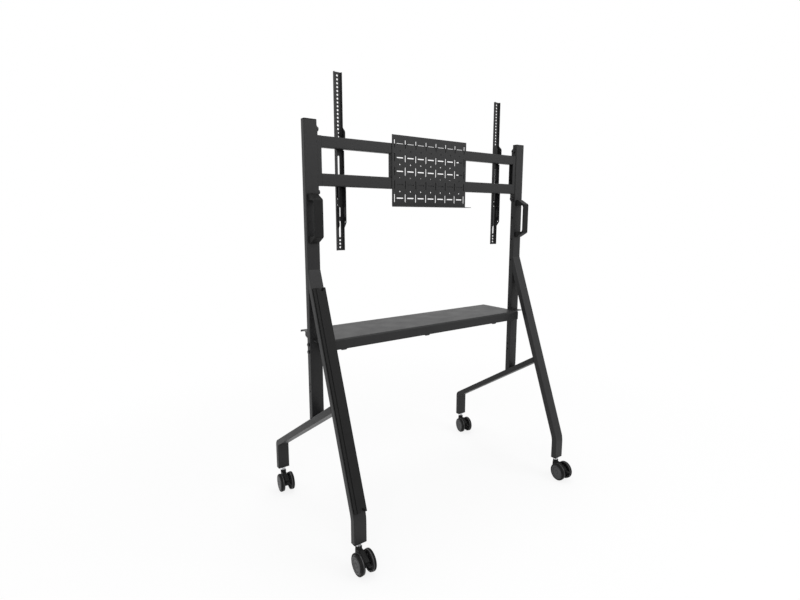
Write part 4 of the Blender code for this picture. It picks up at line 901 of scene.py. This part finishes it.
def wheel_surface():
    """One wheel turned about X, hub side at 0 and outer face at WHEEL_WIDTH. Between hub and rim the inner
    face is a dish with ribs: depth = DISH, or 3 mm at the hub to 9 mm at the rim where radius * |angle to a
    rib| < RIB_HALF. The tread is two bands, to TREAD_BACK and from the ring's hub-side edge to RIM_BACK.
    The ring between them is a shallow groove, left in the paler polypropylene as a painted highlight."""
    curve = np.linspace(0, np.pi / 2, 9)
    big, width = WHEEL_RADIUS, WHEEL_WIDTH
    # Outer face from the middle: cap, groove, web, groove, rim and the step down to the tread
    profile = [
        (0.0, width - 0.0005), (0.0068, width - 0.0005), (0.0076, width - 0.0018),
        (0.0090, width - 0.0018), (0.0097, width - 0.0006), (0.0150, width - 0.0016),
        (0.0205, width - 0.0004), (0.0211, width - 0.0015), (0.0224, width - 0.0015),
        (0.0230, width - 0.0001), (0.0255, width), (0.0286, width - 0.0006),
        (0.0293, width - 0.0036), (0.0322, width - 0.0036), (0.0330, width - 0.0018)]
    # Tread: its outer round, the step down into the groove of the painted-highlight ring, and the inner
    # round
    profile += [(big - 0.0040 + 0.0040 * math.sin(a), width - 0.0062 + 0.0044 * math.cos(a)) for a in curve]
    profile += [(big, TREAD_BACK + 0.0004), (big - 0.0004, TREAD_BACK), (HIGHLIGHT_RING_RADIUS, TREAD_BACK - 0.0002),
                (HIGHLIGHT_RING_RADIUS, PAINTED_HIGHLIGHT_RING_BACK)]
    profile += [(HIGHLIGHT_RING_RADIUS - 0.0026 + 0.0026 * math.cos(a), RIM_BACK + 0.0026 - 0.0026 * math.sin(a))
                for a in curve]
    # Inner face: the rim's lip, the dish and the hub with its blind bore for the axle
    profile += [(TREAD_INSIDE, RIM_BACK), (0.0322, RIM_BACK + 0.0004), (0.0316, DISH - 0.0010),
                (0.0306, DISH)]
    profile += [(radius, DISH) for radius in np.linspace(0.0290, 0.0120, 9)]
    profile += [(0.0104, DISH), (0.0098, DISH - 0.0010), (0.0095, 0.0006), (0.0090, 0.0),
                (0.0044, 0.0), (0.0043, 0.0193), (0.0, 0.0193)]
    points, faces = turned(profile, 180)
    angle = np.linspace(0, 2 * np.pi, 180, endpoint=False)
    pitch = 2 * np.pi / RIBS
    off_rib = np.abs((angle + pitch / 2) % pitch - pitch / 2)
    radius, depth = np.array(profile).T[:, :, None]
    rib = (depth == DISH) & (radius > HUB) & (radius * off_rib[None] < RIB_HALF)
    rib_top = 0.003 + 0.006 * (radius - 0.012) / 0.0186
    points[..., 0] -= (DISH - rib_top) * rib
    return points, faces


def into_caster(points, corner):
    """Turns points about the stem's axis by the caster's angle and moves them under its foot."""
    end, side = corner.split("_")
    angle = math.radians(SWIVELS[corner])
    x, y, z = np.asarray(points, float).reshape(-1, 3).T
    foot_x = POST_X * (-1 if side == "left" else 1)
    foot_y = REAR_FACE + (BASE_FOOT if end == "front" else -STEM_BACK)
    return np.stack([foot_x + x * math.cos(angle) - y * math.sin(angle),
                     foot_y + x * math.sin(angle) + y * math.cos(angle), z], -1)


def turned_upright(profile, steps):
    """A surface turned about Z: the surface turned about X, with its axes passed round once."""
    points, faces = turned(profile, steps)
    return points[..., [1, 2, 0]], faces


def pedal_pin(radius, half, steps):
    """A plain pin along X at the pedal's hinge."""
    points, faces = turned([(0.0, -half), (radius, -half), (radius, half), (0.0, half)], steps)
    return points + [0.0, -PEDAL_BACK, PEDAL_HEIGHT], faces


wheel_points, wheel_faces = wheel_surface()
collar, collar_low, collar_high = COLLAR
stem = [(0.0, SPIGOT[1]), SPIGOT, (SPIGOT[0], collar_high), (0.0101, collar_high),
        (collar, collar_high - 0.0006), (collar, collar_low + 0.0007), (0.0100, collar_low),
        (PIN[0], collar_low), PIN, (PIN[0] - 0.0010, PIN[1] - 0.0010), (0.0, PIN[1] - 0.0010)]
socket_low = PIN[1] - 0.0010 - GAP
socket = [(0.0, 0.12), (PIN[0] + GAP, 0.12), (PIN[0] + GAP, socket_low), (0.0, socket_low)]
hood_half = WHEEL_SPACE / 2 - 0.0004
# The boss clears the wheels by 1.2 mm at its rear edge, where they stand highest under it
boss_low = WHEEL_RADIUS + math.sqrt(WHEEL_OUT ** 2 - (TRAIL - BOSS[0]) ** 2) + 0.0012
boss = [(0.0, BOSS[1]), (BOSS[0] - 0.0012, BOSS[1]), (BOSS[0] - 0.0002, BOSS[1] - 0.0010),
        (BOSS[0], boss_low), (0.0, boss_low)]
hood = fillet(
    [(HOOD_AHEAD, WHEEL_RADIUS + 0.012), (HOOD_AHEAD, boss_low + 0.0024), (-TRAIL * 0.55, boss_low + 0.0024),
     (-TRAIL - 0.0245, PEDAL_HEIGHT + 0.0075), (-TRAIL - 0.0245, PEDAL_HEIGHT - 0.0075),
     (-TRAIL - 0.0102, WHEEL_RADIUS - 0.017), (-TRAIL + 0.0102, WHEEL_RADIUS - 0.017)],
    [0.006, 0.004, 0.012, 0.005, 0.004, 0.010, 0.010], 10)
recess = rectangle(-PEDAL_HALF - GAP, PEDAL_HALF + GAP, -0.2, -PEDAL_BACK + PEDAL_ROOM, 0.001, 3)
pedal_plate = fillet(
    [(-PEDAL_REACH, 0.0035), (-PEDAL_REACH, -0.0005), (-PEDAL_REACH * 0.6, -0.002), (0, -0.002), (0, 0.002),
     (-PEDAL_REACH * 0.6, 0.002)],
    [0.0014, 0.0014, 0.004, 0.0, 0.0, 0.004], 5) + [-PEDAL_BACK, PEDAL_HEIGHT]
plug_half = np.array(TUBE) / 2 - TUBE_WALL - GAP
plug = rectangle(-plug_half[0], plug_half[0], -plug_half[1], plug_half[1], 0.001, 4)
for corner in SWIVELS:
    # Stem: a turned pin with a bright collar under the foot
    points, faces = turned_upright(stem, 64)
    add_piece(f"stem_{corner}", into_caster(points, corner), faces, zinc, "frame", "zinc",
              [f"caster_stem_{corner}"])
    # Foot plug: a nylon block that closes the tube round the stem
    foot = into_caster([(0, 0, 0)], corner)[0]
    tube_end = foot[:2] - [0.0, LEG_FOOT - STEM_BACK if corner.startswith("rear") else 0.0]
    points, faces = prism(plug + tube_end, "Z", FOOT_BOTTOM + GAP, FOOT_BOTTOM + PLUG_HEIGHT)
    foot_plug = add_piece(f"foot_plug_{corner}", points, faces, nylon, "frame", "black_plastic", edge=0.0005)
    bore = slots([tuple(foot[:2])], PLUG_BORE, PLUG_BORE, steps=16)
    carve(foot_plug, *prism(bore, "Z", FOOT_BOTTOM - 0.005, FOOT_BOTTOM + PLUG_BORE_DEEP))
    # Hood: the moulded body between the wheels, with a round boss that takes the stem
    points, faces = prism(hood, "X", -hood_half, hood_half)
    body = add_piece(f"hood_{corner}", into_caster(points, corner), faces, nylon, f"caster_{corner}",
                     "black_plastic", [f"caster_housing_{corner}"], edge=0.0015, segments=4)
    body.data = applied(body)
    points, faces = turned_upright(boss, 64)
    carve(body, into_caster(points, corner), faces, "UNION")
    points, faces = turned_upright(socket, 40)
    carve(body, into_caster(points, corner), faces)
    points, faces = prism(recess, "Z", PEDAL_HEIGHT - 0.0225, PEDAL_HEIGHT + PEDAL_ROOM)
    carve(body, into_caster(points, corner), faces)
    # Axle: a plated pin pressed through the hood
    dressed(f"caster_axle_{corner}", zinc, f"caster_{corner}", edge=0.0)
    # Wheels: the same moulding twice, with its face outward on both sides
    for name, sign in (("right", 1), ("left", -1)):
        points = wheel_points.copy()
        points[..., 0] = sign * (points[..., 0] + WHEEL_SPACE / 2)
        points[..., 1] -= TRAIL
        points[..., 2] += WHEEL_RADIUS
        wheel = add_piece(f"caster_wheel_{name}_{corner}", into_caster(points, corner), wheel_faces,
                          polypropylene, f"wheel_{name}_{corner}", "wheel_plastic",
                          [f"wheel_{name}_{corner}"], sharp=30)
        wheel.data.materials.append(polyurethane)
        # A face is tread where it lies outside the rim's lip and in one of the two bands. The ring between
        # them stays paler polypropylene, a painted highlight
        centre = into_caster([(sign * WHEEL_SPACE / 2, -TRAIL, WHEEL_RADIUS)], corner)[0]
        angle = math.radians(SWIVELS[corner])
        axle = np.array([math.cos(angle), math.sin(angle), 0.0])
        spots = np.zeros(len(wheel.data.polygons) * 3)
        wheel.data.polygons.foreach_get("center", spots)
        offset = spots.reshape(-1, 3) - centre
        distance = np.linalg.norm(offset - (offset @ axle)[:, None] * axle, axis=1)
        depth = sign * (offset @ axle)
        tread = (distance > TREAD_INSIDE) & ((depth > TREAD_BACK - 0.0003) | (depth < PAINTED_HIGHLIGHT_RING_BACK))
        wheel.data.polygons.foreach_set("material_index", tread.astype(np.int32))
    # Brake pedal: a plate on a pin across the hood's rear
    points, faces = pedal_pin(0.0037, PEDAL_HALF, 32)
    pedal = add_piece(f"pedal_{corner}", into_caster(points, corner), faces, nylon, f"pedal_{corner}",
                      "black_plastic", [f"brake_pedal_{corner}"])
    points, faces = prism(pedal_plate, "X", -0.0059, 0.0059)
    carve(pedal, into_caster(points, corner), faces, "UNION")
    points, faces = pedal_pin(0.0015, 0.0087, 20)
    carve(pedal, into_caster(points, corner), faces, "UNION")
